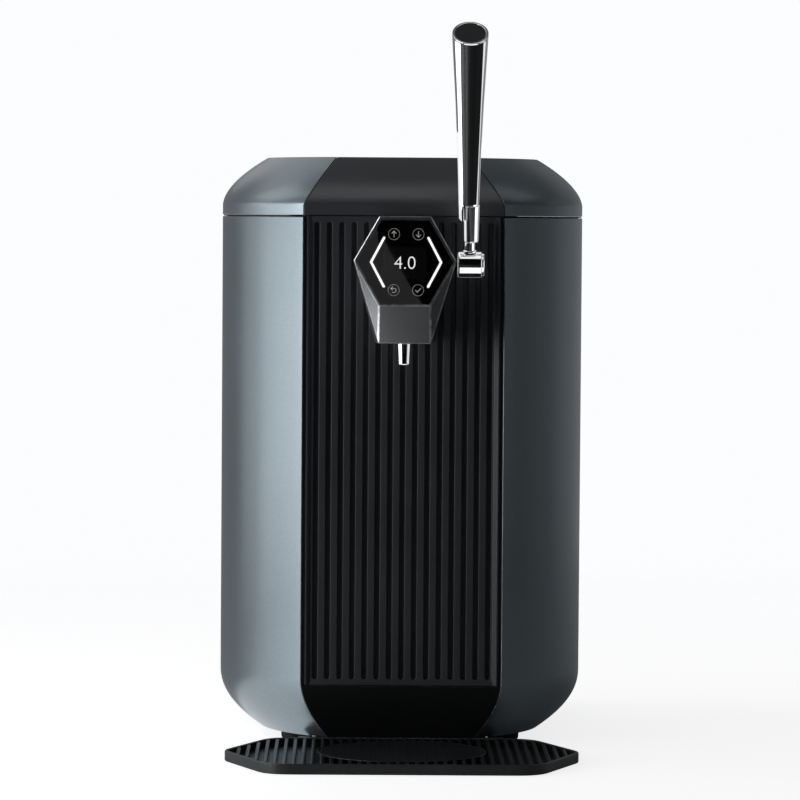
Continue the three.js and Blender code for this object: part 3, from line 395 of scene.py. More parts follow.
def look(name, colour, rough, metal=0.0, tint=1.25, grain=900.0, stretch=(1, 1, 1), patch=14.0, bump=0.25,
         depth=0.00006, worn_and_highlight=None, worn_and_highlight_rough=None, sockets=None, pattern=None):
    """A procedural finish: fine grain, slow patches, roughness that varies, bump, and rounded edges in a
    lighter colour that is partly wear and partly painted highlight.

    rough is the range of the roughness, tint how far the grain lightens the colour, grain and patch
    the waves a metre, and stretch draws the grain out along an axis. pattern is a function that may
    change the colour and the height: it gets the tree, the place, the colour and the height.
    """
    if name in LOOKS:
        return LOOKS[name]
    slow_share, least_wear_and_highlight, wear_and_highlight_patch, worn_and_highlight_gain = 0.6, 0.15, 160.0, 2.2
    material = bpy.data.materials.new(name)
    material.use_nodes = True
    tree = Tree(material.node_tree)
    shader = material.node_tree.nodes["Principled BSDF"]
    place = tree.node("ShaderNodeTexCoord").outputs["Object"]
    drawn = tree.node("ShaderNodeMapping", Vector=place, Scale=stretch).outputs[0]
    fine = tree.noise(drawn, grain, 3.0)
    slow = tree.noise(place, patch, 2.0)
    mixed = tree.maths("MULTIPLY_ADD", slow, slow_share, tree.maths("MULTIPLY", fine, 1 - slow_share))
    shade = tree.blend(tree.spread(mixed, 0.0, 1.0), rgba(colour), rgba(colour, tint))
    height = fine
    if pattern:
        shade, height = pattern(tree, place, shade, height)
    # Marked edge faces turn lighter in patches: partly real wear, partly a painted highlight where the
    # rounding would catch the light
    wear_and_highlight = tree.node("ShaderNodeAttribute", {"attribute_name": "wear_and_highlight"}).outputs["Fac"]
    patchy = tree.spread(tree.noise(place, wear_and_highlight_patch, 3.0), least_wear_and_highlight, 1.0)
    share = tree.maths("MULTIPLY", wear_and_highlight, patchy)
    worn_and_highlight = worn_and_highlight or rgba(colour, worn_and_highlight_gain)
    roughness = tree.spread(mixed, rough[0], rough[1])
    if worn_and_highlight_rough is not None:
        change = tree.maths("MULTIPLY", share, worn_and_highlight_rough - rough[0])
        roughness = tree.maths("ADD", roughness, change)
    raised = tree.node("ShaderNodeBump", Strength=bump, Distance=depth, Height=height)
    tree.feed(shader.inputs["Base Color"], tree.blend(share, shade, worn_and_highlight))
    tree.feed(shader.inputs["Roughness"], roughness)
    tree.feed(shader.inputs["Normal"], raised.outputs[0])
    shader.inputs["Metallic"].default_value = metal
    for socket, value in (sockets or {}).items():
        shader.inputs[socket].default_value = value
    LOOKS[name] = material
    return material


def flakes(tree, place, colour, height):
    """Metal flakes in the shell paint, each a little lighter or darker than its neighbours."""
    cells = tree.node("ShaderNodeTexVoronoi", Vector=place, Scale=2600.0)
    lightness = tree.spread(cells.outputs["Color"], 0.0, 0.35, 0.2, 1.0)
    return tree.blend(lightness, colour, (0.42, 0.48, 0.52, 1.0)), height


def speckles(tree, place, colour, height):
    """Cells of foamed plastic."""
    cells = tree.node("ShaderNodeTexVoronoi", Vector=place, Scale=420.0)
    return colour, tree.maths("SUBTRACT", 1.0, cells.outputs["Distance"])


def tracks(tree, place, colour, height):
    """Copper tracks under the green mask of a circuit board."""
    lanes = tree.node("ShaderNodeTexBrick", Vector=place, Scale=160.0, Mortar_Size=0.12)
    lanes.inputs["Color1"].default_value = (0, 0, 0, 1)
    lanes.inputs["Color2"].default_value = (0.35, 0.35, 0.35, 1)
    lanes.inputs["Mortar"].default_value = (1, 1, 1, 1)
    share = tree.maths("MULTIPLY", lanes.outputs["Color"], 0.55)
    return tree.blend(share, colour, (0.06, 0.22, 0.09, 1.0)), height


def pebbles(tree, place, colour, height):
    """Fine leather-like texture of moulded plastic."""
    cells = tree.node("ShaderNodeTexVoronoi", Vector=place, Scale=1500.0)
    return colour, tree.maths("MULTIPLY_ADD", cells.outputs["Distance"], 0.7, height)


def make_looks():
    """All finishes, by a maker's plain names."""
    colours = settings().colours
    black = colours.black
    look("shell_paint", colours.paint, (0.3, 0.38), 0.88, 1.1, 1300.0, patch=9.0, bump=0.08,
         depth=0.00002, worn_and_highlight=(0.38, 0.43, 0.46, 1), worn_and_highlight_rough=0.28,
         sockets={"Coat Weight": 0.2, "Coat Roughness": 0.15},
         pattern=flakes)
    look("band_black", black, (0.34, 0.46), tint=1.5, grain=1500.0, bump=0.2, depth=0.00003,
         worn_and_highlight=(0.07, 0.08, 0.09, 1), worn_and_highlight_rough=0.28, pattern=pebbles)
    # The plinth's black is a much darker copy of the panel's black: painted shade on the tucked-in foot
    look("painted_shade_plinth_black", [part * 0.12 for part in black], (0.4, 0.5), tint=1.5, grain=1500.0, bump=0.15,
         depth=0.00002, worn_and_highlight=(0.05, 0.055, 0.06, 1), sockets={"Specular IOR Level": 0.3}, pattern=pebbles)
    look("lid_black", [part * 0.84 for part in black], (0.34, 0.42), tint=1.3, grain=1500.0, bump=0.15,
         depth=0.00002, worn_and_highlight=(0.12, 0.13, 0.14, 1), worn_and_highlight_rough=0.28, pattern=pebbles)
    # The head's edge colour is far lighter than its paint: a painted highlight along its rounded edges
    look("head_black", colours.head, (0.3, 0.38), 0.85, 1.3, 1800.0, bump=0.12, depth=0.00002,
         worn_and_highlight=(0.62, 0.63, 0.64, 1), worn_and_highlight_rough=0.24)
    # The glass's edge colour is far lighter than the glass: a painted highlight on its rounded edge
    look("touch_glass", (0.0025, 0.0026, 0.003), (0.004, 0.02), tint=1.6, grain=40.0, bump=0.01,
         depth=0.00001, worn_and_highlight=(0.32, 0.33, 0.34, 1), sockets={"Coat Weight": 1.0, "Coat Roughness": 0.01})
    look("window_glass", (0.011, 0.0115, 0.0125), (0.01, 0.03), tint=1.4, grain=60.0, bump=0.01,
         depth=0.00001, sockets={"Coat Weight": 1.0, "Coat Roughness": 0.01})
    look("chrome", (0.78, 0.79, 0.8), (0.035, 0.085), 1.0, 1.12, 260.0, bump=0.03, depth=0.00001,
         worn_and_highlight=(0.92, 0.92, 0.92, 1))
    look("handle_black", (0.016, 0.0175, 0.0195), (0.3, 0.38), tint=1.6, grain=1600.0, bump=0.1,
         depth=0.00002, worn_and_highlight=(0.06, 0.06, 0.065, 1), sockets={"Coat Weight": 0.25, "Coat Roughness": 0.15})
    look("tray_black", (0.04, 0.043, 0.046), (0.36, 0.5), tint=1.5, grain=1200.0, bump=0.3,
         depth=0.00004, worn_and_highlight=(0.2, 0.205, 0.21, 1), worn_and_highlight_rough=0.28,
         sockets={"Coat Weight": 0.3, "Coat Roughness": 0.3}, pattern=pebbles)
    look("grid_enamel", (0.023, 0.025, 0.027), (0.28, 0.4), tint=1.6, grain=1400.0, bump=0.15,
         depth=0.00003, worn_and_highlight=(0.07, 0.074, 0.078, 1), worn_and_highlight_rough=0.24)
    # A dark copy of steel for the stainless lever shaft: painted shade for the gap beside the head
    look("dark_steel", (0.06, 0.062, 0.066), (0.2, 0.32), 1.0, 1.3, 500.0, bump=0.1, depth=0.00002)
    look("stainless", (0.56, 0.57, 0.58), (0.2, 0.34), 1.0, 1.2, 500.0, (1, 1, 0.06), bump=0.1,
         depth=0.00002, worn_and_highlight=(0.8, 0.8, 0.8, 1))
    look("keg_steel", (0.5, 0.51, 0.52), (0.18, 0.32), 1.0, 1.25, 420.0, (1, 1, 14), bump=0.12,
         depth=0.00003, worn_and_highlight=(0.8, 0.8, 0.8, 1))
    look("aluminium", (0.58, 0.59, 0.6), (0.3, 0.46), 1.0, 1.2, 800.0, (1, 1, 0.1), bump=0.12,
         depth=0.00003, worn_and_highlight=(0.8, 0.8, 0.8, 1))
    look("brass", (0.55, 0.36, 0.13), (0.24, 0.38), 1.0, 1.25, 600.0, bump=0.1, worn_and_highlight=(0.8, 0.6, 0.3, 1))
    look("rubber", (0.014, 0.014, 0.0145), (0.68, 0.85), tint=1.8, grain=700.0, bump=0.35,
         depth=0.00008, worn_and_highlight=(0.05, 0.05, 0.05, 1))
    look("foam", (0.62, 0.6, 0.53), (0.82, 0.95), tint=1.2, grain=500.0, bump=0.6, depth=0.0004,
         pattern=speckles)
    look("inner_grey", (0.33, 0.345, 0.355), (0.42, 0.55), tint=1.15, grain=1300.0, bump=0.2,
         depth=0.00003, worn_and_highlight=(0.55, 0.56, 0.57, 1), pattern=pebbles)
    look("inlet_black", (0.013, 0.013, 0.014), (0.35, 0.5), tint=1.7, grain=1400.0, bump=0.2,
         depth=0.00003, worn_and_highlight=(0.08, 0.08, 0.085, 1), pattern=pebbles)
    look("circuit_green", (0.006, 0.07, 0.025), (0.28, 0.4), tint=1.4, grain=1200.0, bump=0.3,
         pattern=tracks)
    look("enamel_black", (0.012, 0.012, 0.0125), (0.22, 0.36), tint=1.9, grain=420.0, bump=0.25,
         depth=0.00008, worn_and_highlight=(0.16, 0.16, 0.16, 1))
    look("beer_hose", (0.62, 0.6, 0.52), (0.18, 0.3), tint=1.2, grain=700.0, bump=0.1,
         sockets={"Subsurface Weight": 0.1})
    for name, strength in (("lit_chevron", 1.15), ("lit_number", 0.7), ("key_sign", 0.1),
                           ("key_ring", 0.014)):
        lit = look(name, colours.light, (0.3, 0.4), tint=1.0, grain=1500.0, bump=0.05)
        shader = lit.node_tree.nodes["Principled BSDF"]
        tree = Tree(lit.node_tree)
        place = tree.node("ShaderNodeTexCoord").outputs["Object"]
        cloud = tree.spread(tree.noise(place, 220.0), 0.0, 1.0)
        glow = tree.blend(cloud, rgba(colours.light, 0.93), rgba(colours.light))
        tree.feed(shader.inputs["Emission Color"], glow)
        shader.inputs["Emission Strength"].default_value = strength


# Meshes


class Form:
    """Points and faces of a form, before they are a mesh."""

    def __init__(self):
        self.points = []
        self.faces = []

    def ring(self, points):
        """Adds points and gives their numbers."""
        start = len(self.points)
        self.points.extend(points)
        return list(range(start, len(self.points)))

    def skin(self, first, second, closed=True):
        """Joins two rings of equal count by quads."""
        count = len(first)
        for i in range(count if closed else count - 1):
            j = (i + 1) % count
            self.faces.append((first[i], first[j], second[j], second[i]))

    def close(self, ring):
        """Closes a ring by one face."""
        self.faces.append(tuple(ring))


def lofted(rings):
    """A closed form through closed rings of equal count."""
    form = Form()
    numbered = [form.ring(ring) for ring in rings]
    for first, second in zip(numbered, numbered[1:]):
        form.skin(first, second)
    form.close(reversed(numbered[0]))
    form.close(numbered[-1])
    return form


def softened(profile, radius, steps=4):
    """Rounds the corners of an open outline of (radius, height) pairs."""
    made = [profile[0]]
    for before, corner, after in zip(profile, profile[1:], profile[2:]):
        corner = Vector(corner)
        to_before = Vector(before) - corner
        to_after = Vector(after) - corner
        reach = min(radius, to_before.length / 2.2, to_after.length / 2.2)
        straight = to_before.normalized().dot(to_after.normalized()) < -0.985
        if straight or reach < 1e-6:
            made.append(tuple(corner))
            continue
        start = corner + to_before.normalized() * reach
        end = corner + to_after.normalized() * reach
        for i in range(steps + 1):
            t = i / steps
            made.append(tuple(start * (1 - t) ** 2 + corner * (2 * t * (1 - t)) + end * t ** 2))
    made.append(profile[-1])
    return made


def turned(profile, steps, centre=(0.0, 0.0)):
    """A form turned about an upright axis; an outline that ends on the axis is closed there."""
    form = Form()
    rings = []
    for radius, height in profile:
        if radius < 1e-7:
            rings.append(form.ring([Vector((centre[0], centre[1], height))]))
            continue
        rings.append(form.ring([
            Vector((
                centre[0] + radius * math.cos(2 * math.pi * i / steps),
                centre[1] + radius * math.sin(2 * math.pi * i / steps),
                height,
            ))
            for i in range(steps)
        ]))
    for first, second in zip(rings, rings[1:]):
        if len(first) == 1 and len(second) == 1:
            continue
        if len(first) == 1 or len(second) == 1:
            pole, ring = (first[0], second) if len(first) == 1 else (second[0], first)
            for i in range(steps):
                form.faces.append((ring[i], ring[(i + 1) % steps], pole))
        else:
            form.skin(first, second)
    return form


def hooped(rings):
    """A closed form through rings, the last of which joins the first."""
    form = Form()
    numbered = [form.ring(ring) for ring in rings]
    for first, second in zip(numbered, numbered[1:] + numbered[:1]):
        form.skin(first, second)
    return form


def rod(radius, z0, z1, steps, centre=(0.0, 0.0)):
    """A round bar as a form."""
    return turned([(0, z0), (radius, z0), (radius, z1), (0, z1)], steps, centre)


ALONG_X = Matrix.Rotation(math.radians(90), 4, "Y")


@contextmanager
def opened(mesh):
    """Opens a mesh for a change and writes the change back."""
    work = bmesh.new()
    work.from_mesh(mesh)
    yield work
    work.to_mesh(mesh)
    work.free()


def placed(name, data):
    """A new object in the scene."""
    made = bpy.data.objects.new(name, data)
    bpy.context.scene.collection.objects.link(made)
    return made


def made_whole(work, reach):
    """Merges doubles within reach and turns the faces out."""
    bmesh.ops.remove_doubles(work, verts=work.verts, dist=reach)
    bmesh.ops.recalc_face_normals(work, faces=work.faces)


def piece_of(name, form, place=None):
    """A new object from a form, with its doubles merged and its faces pointing out."""
    mesh = bpy.data.meshes.new(name)
    points = [place @ Vector(p) for p in form.points] if place else form.points
    mesh.from_pydata([tuple(p) for p in points], [], form.faces)
    with opened(mesh) as work:
        made_whole(work, 1e-6)
    return placed(name, mesh)


def settle(piece):
    """Turns a piece's modifiers into its plain mesh."""
    bpy.context.view_layer.update()
    graph = bpy.context.evaluated_depsgraph_get()
    made = bpy.data.meshes.new_from_object(
        piece.evaluated_get(graph), preserve_all_data_layers=True, depsgraph=graph)
    piece.modifiers.clear()
    piece.data = made
    return piece


def carve(piece, *cutters, operation="DIFFERENCE"):
    """Cuts closed pieces from a piece, or keeps what they share, and removes them."""
    for cutter in cutters:
        change = piece.modifiers.new("carve", "BOOLEAN")
        change.operation = operation
        change.solver = "EXACT"
        change.object = cutter
        settle(piece)
        bpy.data.objects.remove(cutter)
    return piece


def add_to(piece, *others):
    """Puts other pieces' meshes into a piece, and removes them."""
    with opened(piece.data) as work:
        for other in others:
            work.from_mesh(other.data)
            bpy.data.objects.remove(other)
    return piece


def copy_of(node, name):
    """A merged copy of a CAD node, with its flat faces whole again."""
    mesh = NODES[node].data.copy()
    mesh.materials.clear()
    with opened(mesh) as work:
        made_whole(work, 2e-6)
        bmesh.ops.dissolve_limit(
            work, angle_limit=math.radians(1.5), verts=work.verts, edges=work.edges)
    return placed(name, mesh)


def block(x0, x1, y0, y1, z0, z1):
    """A block as a form."""
    return lofted([[Vector(p) for p in ((x0, y0, z), (x1, y0, z), (x1, y1, z), (x0, y1, z))]
                   for z in (z0, z1)])


def box_of(x0, x1, y0, y1, z0, z1):
    """A block as a form, with y from the panel's front plane."""
    return block(x0, x1, y0 + FRONT, y1 + FRONT, z0, z1)


def slab(outline, y0, y1):
    """An outline of (x, z) pairs seen from the front, running back from y0 to y1."""
    return lofted([[at(x, y, z) for x, z in outline] for y in (y0, y1)])


def round_edges(work, edges, reach, steps):
    """Rounds edges and gives the new faces."""
    if not edges:
        return []
    made = bmesh.ops.bevel(
        work, geom=edges, offset=reach, offset_type="OFFSET", segments=steps, profile=0.5,
        affect="EDGES", clamp_overlap=True)
    return made["faces"]


def finish(piece, material, body, slot, *stands_for, edge=0.0, steps=2, sharp=30.0, smooth=32.0):
    """Rounds a piece's sharp edges, marks them for the lighter edge colour (wear and painted highlight),
    gives it its finish and lets it ride.
    """
    with opened(piece.data) as work:
        layer = work.faces.layers.float.get("wear_and_highlight") or work.faces.layers.float.new("wear_and_highlight")
        if edge:
            limit = math.radians(sharp)
            edges = [e for e in work.edges if len(e.link_faces) == 2 and e.calc_face_angle(0) > limit]
            # These faces get the lighter edge colour: partly wear, partly painted highlight
            for face in round_edges(work, edges, edge, steps):
                face[layer] = 1.0
        for face in work.faces:
            face.smooth = True
    piece.data.set_sharp_from_angle(angle=math.radians(smooth))
    even = piece.modifiers.new("even", "WEIGHTED_NORMAL")
    even.keep_sharp = True
    even.weight = 60
    settle(piece)
    piece.data.materials.clear()
    piece.data.materials.append(LOOKS[material])
    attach(piece, body)
    if stands_for:
        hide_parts(*stands_for)
    return piece


# Geometry node rules


class Amount:
    """A number inside a geometry node tree, so that a rule is written as plain arithmetic."""

    def __init__(self, tree, socket):
        self.tree = tree
        self.socket = socket

    def step(self, operation, *others):
        """One step of arithmetic on this number and others."""
        return Amount(self.tree, self.tree.maths(operation, self, *others))

    def __add__(self, other):
        return self.step("ADD", other)

    def __sub__(self, other):
        return self.step("SUBTRACT", other)

    def __mul__(self, other):
        return self.step("MULTIPLY", other)

    def __truediv__(self, other):
        return self.step("DIVIDE", other)

    def __pow__(self, other):
        return self.step("POWER", other)

    def from_one(self):
        """One less this number."""
        return self.step("MULTIPLY_ADD", -1.0, 1.0)

    def where(self, test, other):
        """This number where test is one, and the other where it is nought."""
        return (self - other).step("MULTIPLY_ADD", test, other)


class Rule(Tree):
    """A geometry node tree with named inputs, which ends in real meshes with a material."""

    def __init__(self, name):
        super().__init__(bpy.data.node_groups.new(name, "GeometryNodeTree"))
        self.sides = self.tree.interface
        for way in ("INPUT", "OUTPUT"):
            self.sides.new_socket("Geometry", in_out=way, socket_type="NodeSocketGeometry")
        self.given = self.node("NodeGroupInput")
        self.result = self.node("NodeGroupOutput")
        self.values = {}

    def ask(self, name, value, kind="NodeSocketFloat"):
        """Adds a named input and gives the number that it holds."""
        socket = self.sides.new_socket(name, in_out="INPUT", socket_type=kind)
        self.values[socket.identifier] = value
        output = self.given.outputs[name]
        return output if kind == "NodeSocketMaterial" else Amount(self, output)

    def index(self):
        """The number of each point."""
        return Amount(self, self.node("GeometryNodeInputIndex").outputs[0])

    def vector(self, x, y, z):
        """Three numbers as one place."""
        return self.node("ShaderNodeCombineXYZ", X=x, Y=y, Z=z).outputs[0]

    def line(self, count, start, step):
        """Points in a line."""
        return self.node("GeometryNodeMeshLine", Count=count, Start_Location=start,
                         Offset=step).outputs[0]

    def end(self, geometry, material):
        """Makes the instances real and gives them their material."""
        real = self.node("GeometryNodeRealizeInstances", Geometry=geometry)
        painted = self.node("GeometryNodeSetMaterial", Geometry=real.outputs[0], Material=material)
        self.feed(self.result.inputs[0], painted.outputs[0])

    def repeat(self, points, instance, material, **scale):
        """Ends in a copy of one form at each point."""
        copies = self.node("GeometryNodeInstanceOnPoints", Points=points, Instance=instance, **scale)
        self.end(copies.outputs[0], material)

    def applied(self, piece):
        """Runs the rule on a piece and keeps the plain mesh."""
        change = piece.modifiers.new(self.tree.name, "NODES")
        change.node_group = self.tree
        for identifier, value in self.values.items():
            change[identifier] = value
        return settle(piece)


def shell_rule(name, is_lid):
    """The rule of a painted shell: an arc from the black band to the side, a rear corner, and a
    foot that tucks in or a crown that is drawn in, level by level."""
    body = settings().body
    rule = Rule(name)
    half = rule.ask("Half Width", HALF)
    depth = rule.ask("Depth", DEPTH)
    band = rule.ask("Band Half Width", BAND)
    start = rule.ask("Curve Start", SEAM + body.crown_start if is_lid else BASE)
    reach = rule.ask("Curve Height", TOP - SEAM - body.crown_start if is_lid else body.tuck_height)
    side = rule.ask("Drawn In Side", body.crown_side if is_lid else body.tuck_side)
    front = rule.ask("Drawn In Front", body.crown_front if is_lid else body.tuck_front)
    rear = rule.ask("Drawn In Rear", body.crown_rear if is_lid else body.tuck_front)
    narrow = rule.ask("Drawn In Band", body.crown_band if is_lid else body.tuck_band)
    power = rule.ask("Curve Power", body.crown_power if is_lid else body.tuck_power)
    band_power = rule.ask("Band Power", body.crown_band_power if is_lid else body.tuck_band_power)
    kink = rule.ask("Kink", body.kink)
    corner = rule.ask("Rear Corner", body.rear_corner)
    arc_steps = rule.ask("Arc Steps", body.arc_steps, "NodeSocketInt")
    corner_steps = rule.ask("Corner Steps", body.corner_steps, "NodeSocketInt")
    level_steps = rule.ask("Level Steps", body.level_steps, "NodeSocketInt")
    material = rule.ask("Material", LOOKS["shell_paint"], "NodeSocketMaterial")
    seam = rule.ask("Seam", SEAM + GAP if is_lid else SEAM + GAP - body.seam_gap)

    columns = arc_steps + corner_steps + 3
    rows = level_steps + (3 if is_lid else 2)
    grid = rule.node("GeometryNodeMeshGrid", Vertices_X=columns, Vertices_Y=rows)
    index = rule.index()
    column = (index / rows).step("FLOOR")
    row = index - column * rows

    if is_lid:
        share = ((row - 1.0) / level_steps).step("MAXIMUM", 0.0).step("MINIMUM", 1.0)
        below = row.step("LESS_THAN", 0.5)
        z = seam.where(below, start + reach * share)
    else:
        raised = (row / level_steps).step("MINIMUM", 1.0)
        share = raised.from_one()
        above = row.step("GREATER_THAN", level_steps + 0.5)
        z = seam.where(above, start + reach * raised)
    drawn = share ** power
    level_half = half - side * drawn
    edge = band - narrow * share ** band_power + GAP
    level_front = front * drawn
    level_rear = depth - rear * drawn

    radius = (level_half - edge + GAP) / kink.from_one()
    arc_x = level_half - radius
    arc_y = level_front + radius * (kink * kink).from_one().step("SQRT")
    first = ((edge - arc_x) / radius).step("ARCCOSINE")
    turn = first * (column / arc_steps).from_one()
    rounding = corner.step("MINIMUM", level_half - edge)
    bend = (column - arc_steps - 1.0) / corner_steps * (math.pi / 2)
    on_arc = column.step("LESS_THAN", arc_steps + 0.5)
    on_corner = column.step("LESS_THAN", arc_steps + corner_steps + 1.5)
    corner_x = level_half - rounding + rounding * bend.step("COSINE")
    corner_y = level_rear - rounding + rounding * bend.step("SINE")
    x = (arc_x + radius * turn.step("COSINE")).where(on_arc, corner_x.where(on_corner, edge))
    y = (arc_y - radius * turn.step("SINE")).where(on_arc, corner_y.where(on_corner, level_rear))
    if is_lid:
        x = edge.where(row.step("GREATER_THAN", level_steps + 1.5), x)
    moved = rule.node("GeometryNodeSetPosition", Geometry=grid.outputs[0],
                      Position=rule.vector(x, y + FRONT, z))
    whole = rule.node("GeometryNodeMergeByDistance", Geometry=moved.outputs[0], Distance=1e-6)
    rule.end(whole.outputs[0], material)
    return rule


def hollow(piece, wall):
    """Gives an open skin a wall inwards and closes its rim."""
    middle = Vector((0.0, FRONT + DEPTH / 2, (BASE + TOP) / 2))
    with opened(piece.data) as work:
        bmesh.ops.recalc_face_normals(work, faces=work.faces)
        outward = sum(
            f.normal.dot(f.calc_center_median() - middle) * f.calc_area() for f in work.faces)
        if outward < 0:
            bmesh.ops.reverse_faces(work, faces=work.faces)
    change = piece.modifiers.new("wall", "SOLIDIFY")
    change.thickness = wall
    change.offset = -1.0
    change.use_even_offset = True
    change.use_rim = True
    return settle(piece)


def mirrored(piece, name):
    """A copy of a piece on the other side of the machine."""
    other = placed(name, piece.data.copy())
    with opened(other.data) as work:
        for point in work.verts:
            point.co.x = -point.co.x
        bmesh.ops.reverse_faces(work, faces=work.faces)
    return other


def round_crown(piece, reach):
    """Rounds the lid's edge between its slope and its flat top."""
    with opened(piece.data) as work:
        edges = [
            e for e in work.edges
            if all(v.co.z > TOP - 1e-5 for v in e.verts)
            and len(e.link_faces) == 2
            and e.calc_face_angle(0) > math.radians(12)
        ]
        round_edges(work, edges, reach, 6)


# Operators: the machine, piece by piece


class BEERMACHINE_OT_side_shells(bpy.types.Operator):
    """Build the two painted side shells"""

    bl_idname = "beer_machine.side_shells"
    bl_label = "Side shells"

    def execute(self, context):
        body = settings().body
        rule = shell_rule("shell rule", False)
        right = rule.applied(piece_of("shell_right", Form()))
        hollow(right, body.wall)
        left = mirrored(right, "shell_left")
        for piece, node in ((right, "side_shell_right"), (left, "side_shell_left")):
            finish(piece, "shell_paint", "root", "paint", node, edge=body.edge, steps=3, sharp=50)
        return {"FINISHED"}


def level_of_foot(z):
    """Half width of the black band and how far it is drawn in, at a height of the body."""
    body = settings().body
    share = max(0.0, 1 - (z - BASE) / body.tuck_height)
    drawn = share ** body.tuck_power
    return BAND - body.tuck_band * share ** body.tuck_band_power, body.tuck_front * drawn


class BEERMACHINE_OT_front_panel(bpy.types.Operator):
    """Build the ribbed front panel and the smooth plinth under it"""

    bl_idname = "beer_machine.front_panel"
    bl_label = "Front panel"

    def execute(self, context):
        sizes = settings().panel
        bottom, top, merge = PANEL_BOTTOM, SEAM - GAP, 2e-6
        strip = piece_of("ribbed_panel", self.groove(sizes, bottom, top))
        rule = Rule("groove rule")
        pitch = rule.ask("Pitch", sizes.pitch)
        count = rule.ask("Grooves", sizes.count, "NodeSocketInt")
        material = rule.ask("Material", LOOKS["band_black"], "NodeSocketMaterial")
        first = (count - 1.0) * pitch * -0.5
        row = rule.line(count, rule.vector(first, 0.0, 0.0), rule.vector(pitch, 0.0, 0.0))
        rule.repeat(row, rule.given.outputs[0], material)
        rule.applied(strip)
        ends = [piece_of("panel_end", self.end(sizes, bottom, top, side)) for side in (-1, 1)]
        panel = add_to(strip, *ends)
        with opened(panel.data) as work:
            made_whole(work, merge)
        finish(panel, "band_black", "root", "black_moulding", "front_panel", smooth=40)

        steps, edge = 26, 0.0007
        height = PANEL_BOTTOM - GAP - BASE
        rings = []
        for i in range(steps + 1):
            z = BASE + height * i / steps
            half, drawn = level_of_foot(z)
            rings.append([at(-half, drawn, z), at(half, drawn, z), at(half, drawn + sizes.thickness, z),
                          at(-half, drawn + sizes.thickness, z)])
        plinth = piece_of("plinth", lofted(rings))
        finish(plinth, "painted_shade_plinth_black", "root", "black_moulding", "front_plinth", edge=edge, steps=3)
        return {"FINISHED"}

    def groove(self, sizes, bottom, top):
        """One slice of the panel with its groove, open towards its neighbours."""
        form = Form()
        half = sizes.pitch / 2
        radius = sizes.width / 2
        soft = sizes.rounding
        arc = 14
        heights = (top - sizes.margin - radius, bottom + sizes.margin + radius)

        def outline(r, y):
            ring = []
            for end, height in enumerate(heights):
                for i in range(arc + 1):
                    angle = math.pi * (i / arc + end)
                    ring.append(at(r * math.cos(angle), y, height + r * math.sin(angle)))
            return ring

        def edge_ring(y):
            ring = []
            for end, height in enumerate((top, bottom)):
                for i in range(arc + 1):
                    x = half * (1 - 2 * i / arc) * (-1 if end else 1)
                    ring.append(at(x, y, height))
            return ring

        rings = [form.ring(edge_ring(sizes.thickness)), form.ring(edge_ring(soft)),
                 form.ring([at(p.x, 0.0, p.z - soft if p.z > (top + bottom) / 2 else p.z + soft)
                            for p in edge_ring(0.0)])]
        rounds = [(radius + soft, 0.0), (radius + soft * 0.5, soft * 0.14),
                  (radius + soft * 0.14, soft * 0.5), (radius, soft), (radius, sizes.depth - soft),
                  (radius - soft, sizes.depth)]
        rings += [form.ring(outline(r, y)) for r, y in rounds]
        count = 2 * (arc + 1)
        for number, (first, second) in enumerate(zip(rings, rings[1:])):
            for i in range(count):
                j = (i + 1) % count
                if number < 2 and i in (arc, count - 1):
                    continue
                form.faces.append((first[i], first[j], second[j], second[i]))
        form.close(rings[-1])
        back = rings[0]
        for i in range(arc):
            form.faces.append((back[i], back[i + 1], back[count - 2 - i], back[count - 1 - i]))
        return form

    def end(self, sizes, bottom, top, side):
        """The strip beside the outermost groove, with the low step along the panel's edge."""
        start = sizes.pitch * sizes.count / 2
        step = BAND - sizes.rebate
        soft = sizes.rounding
        profile = [
            (start, 0.0), (step - soft, 0.0), (step - soft * 0.3, soft * 0.3), (step, soft),
            (step, sizes.depth), (BAND - soft, sizes.depth), (BAND, sizes.depth + soft),
            (BAND, sizes.thickness), (start, sizes.thickness),
        ]
        rings = []
        for height, inset in ((bottom, 1), (bottom + soft, 0), (top - soft, 0), (top, 1)):
            rings.append([at(side * x, max(y, soft) if inset else y, height) for x, y in profile])
        return lofted(rings)


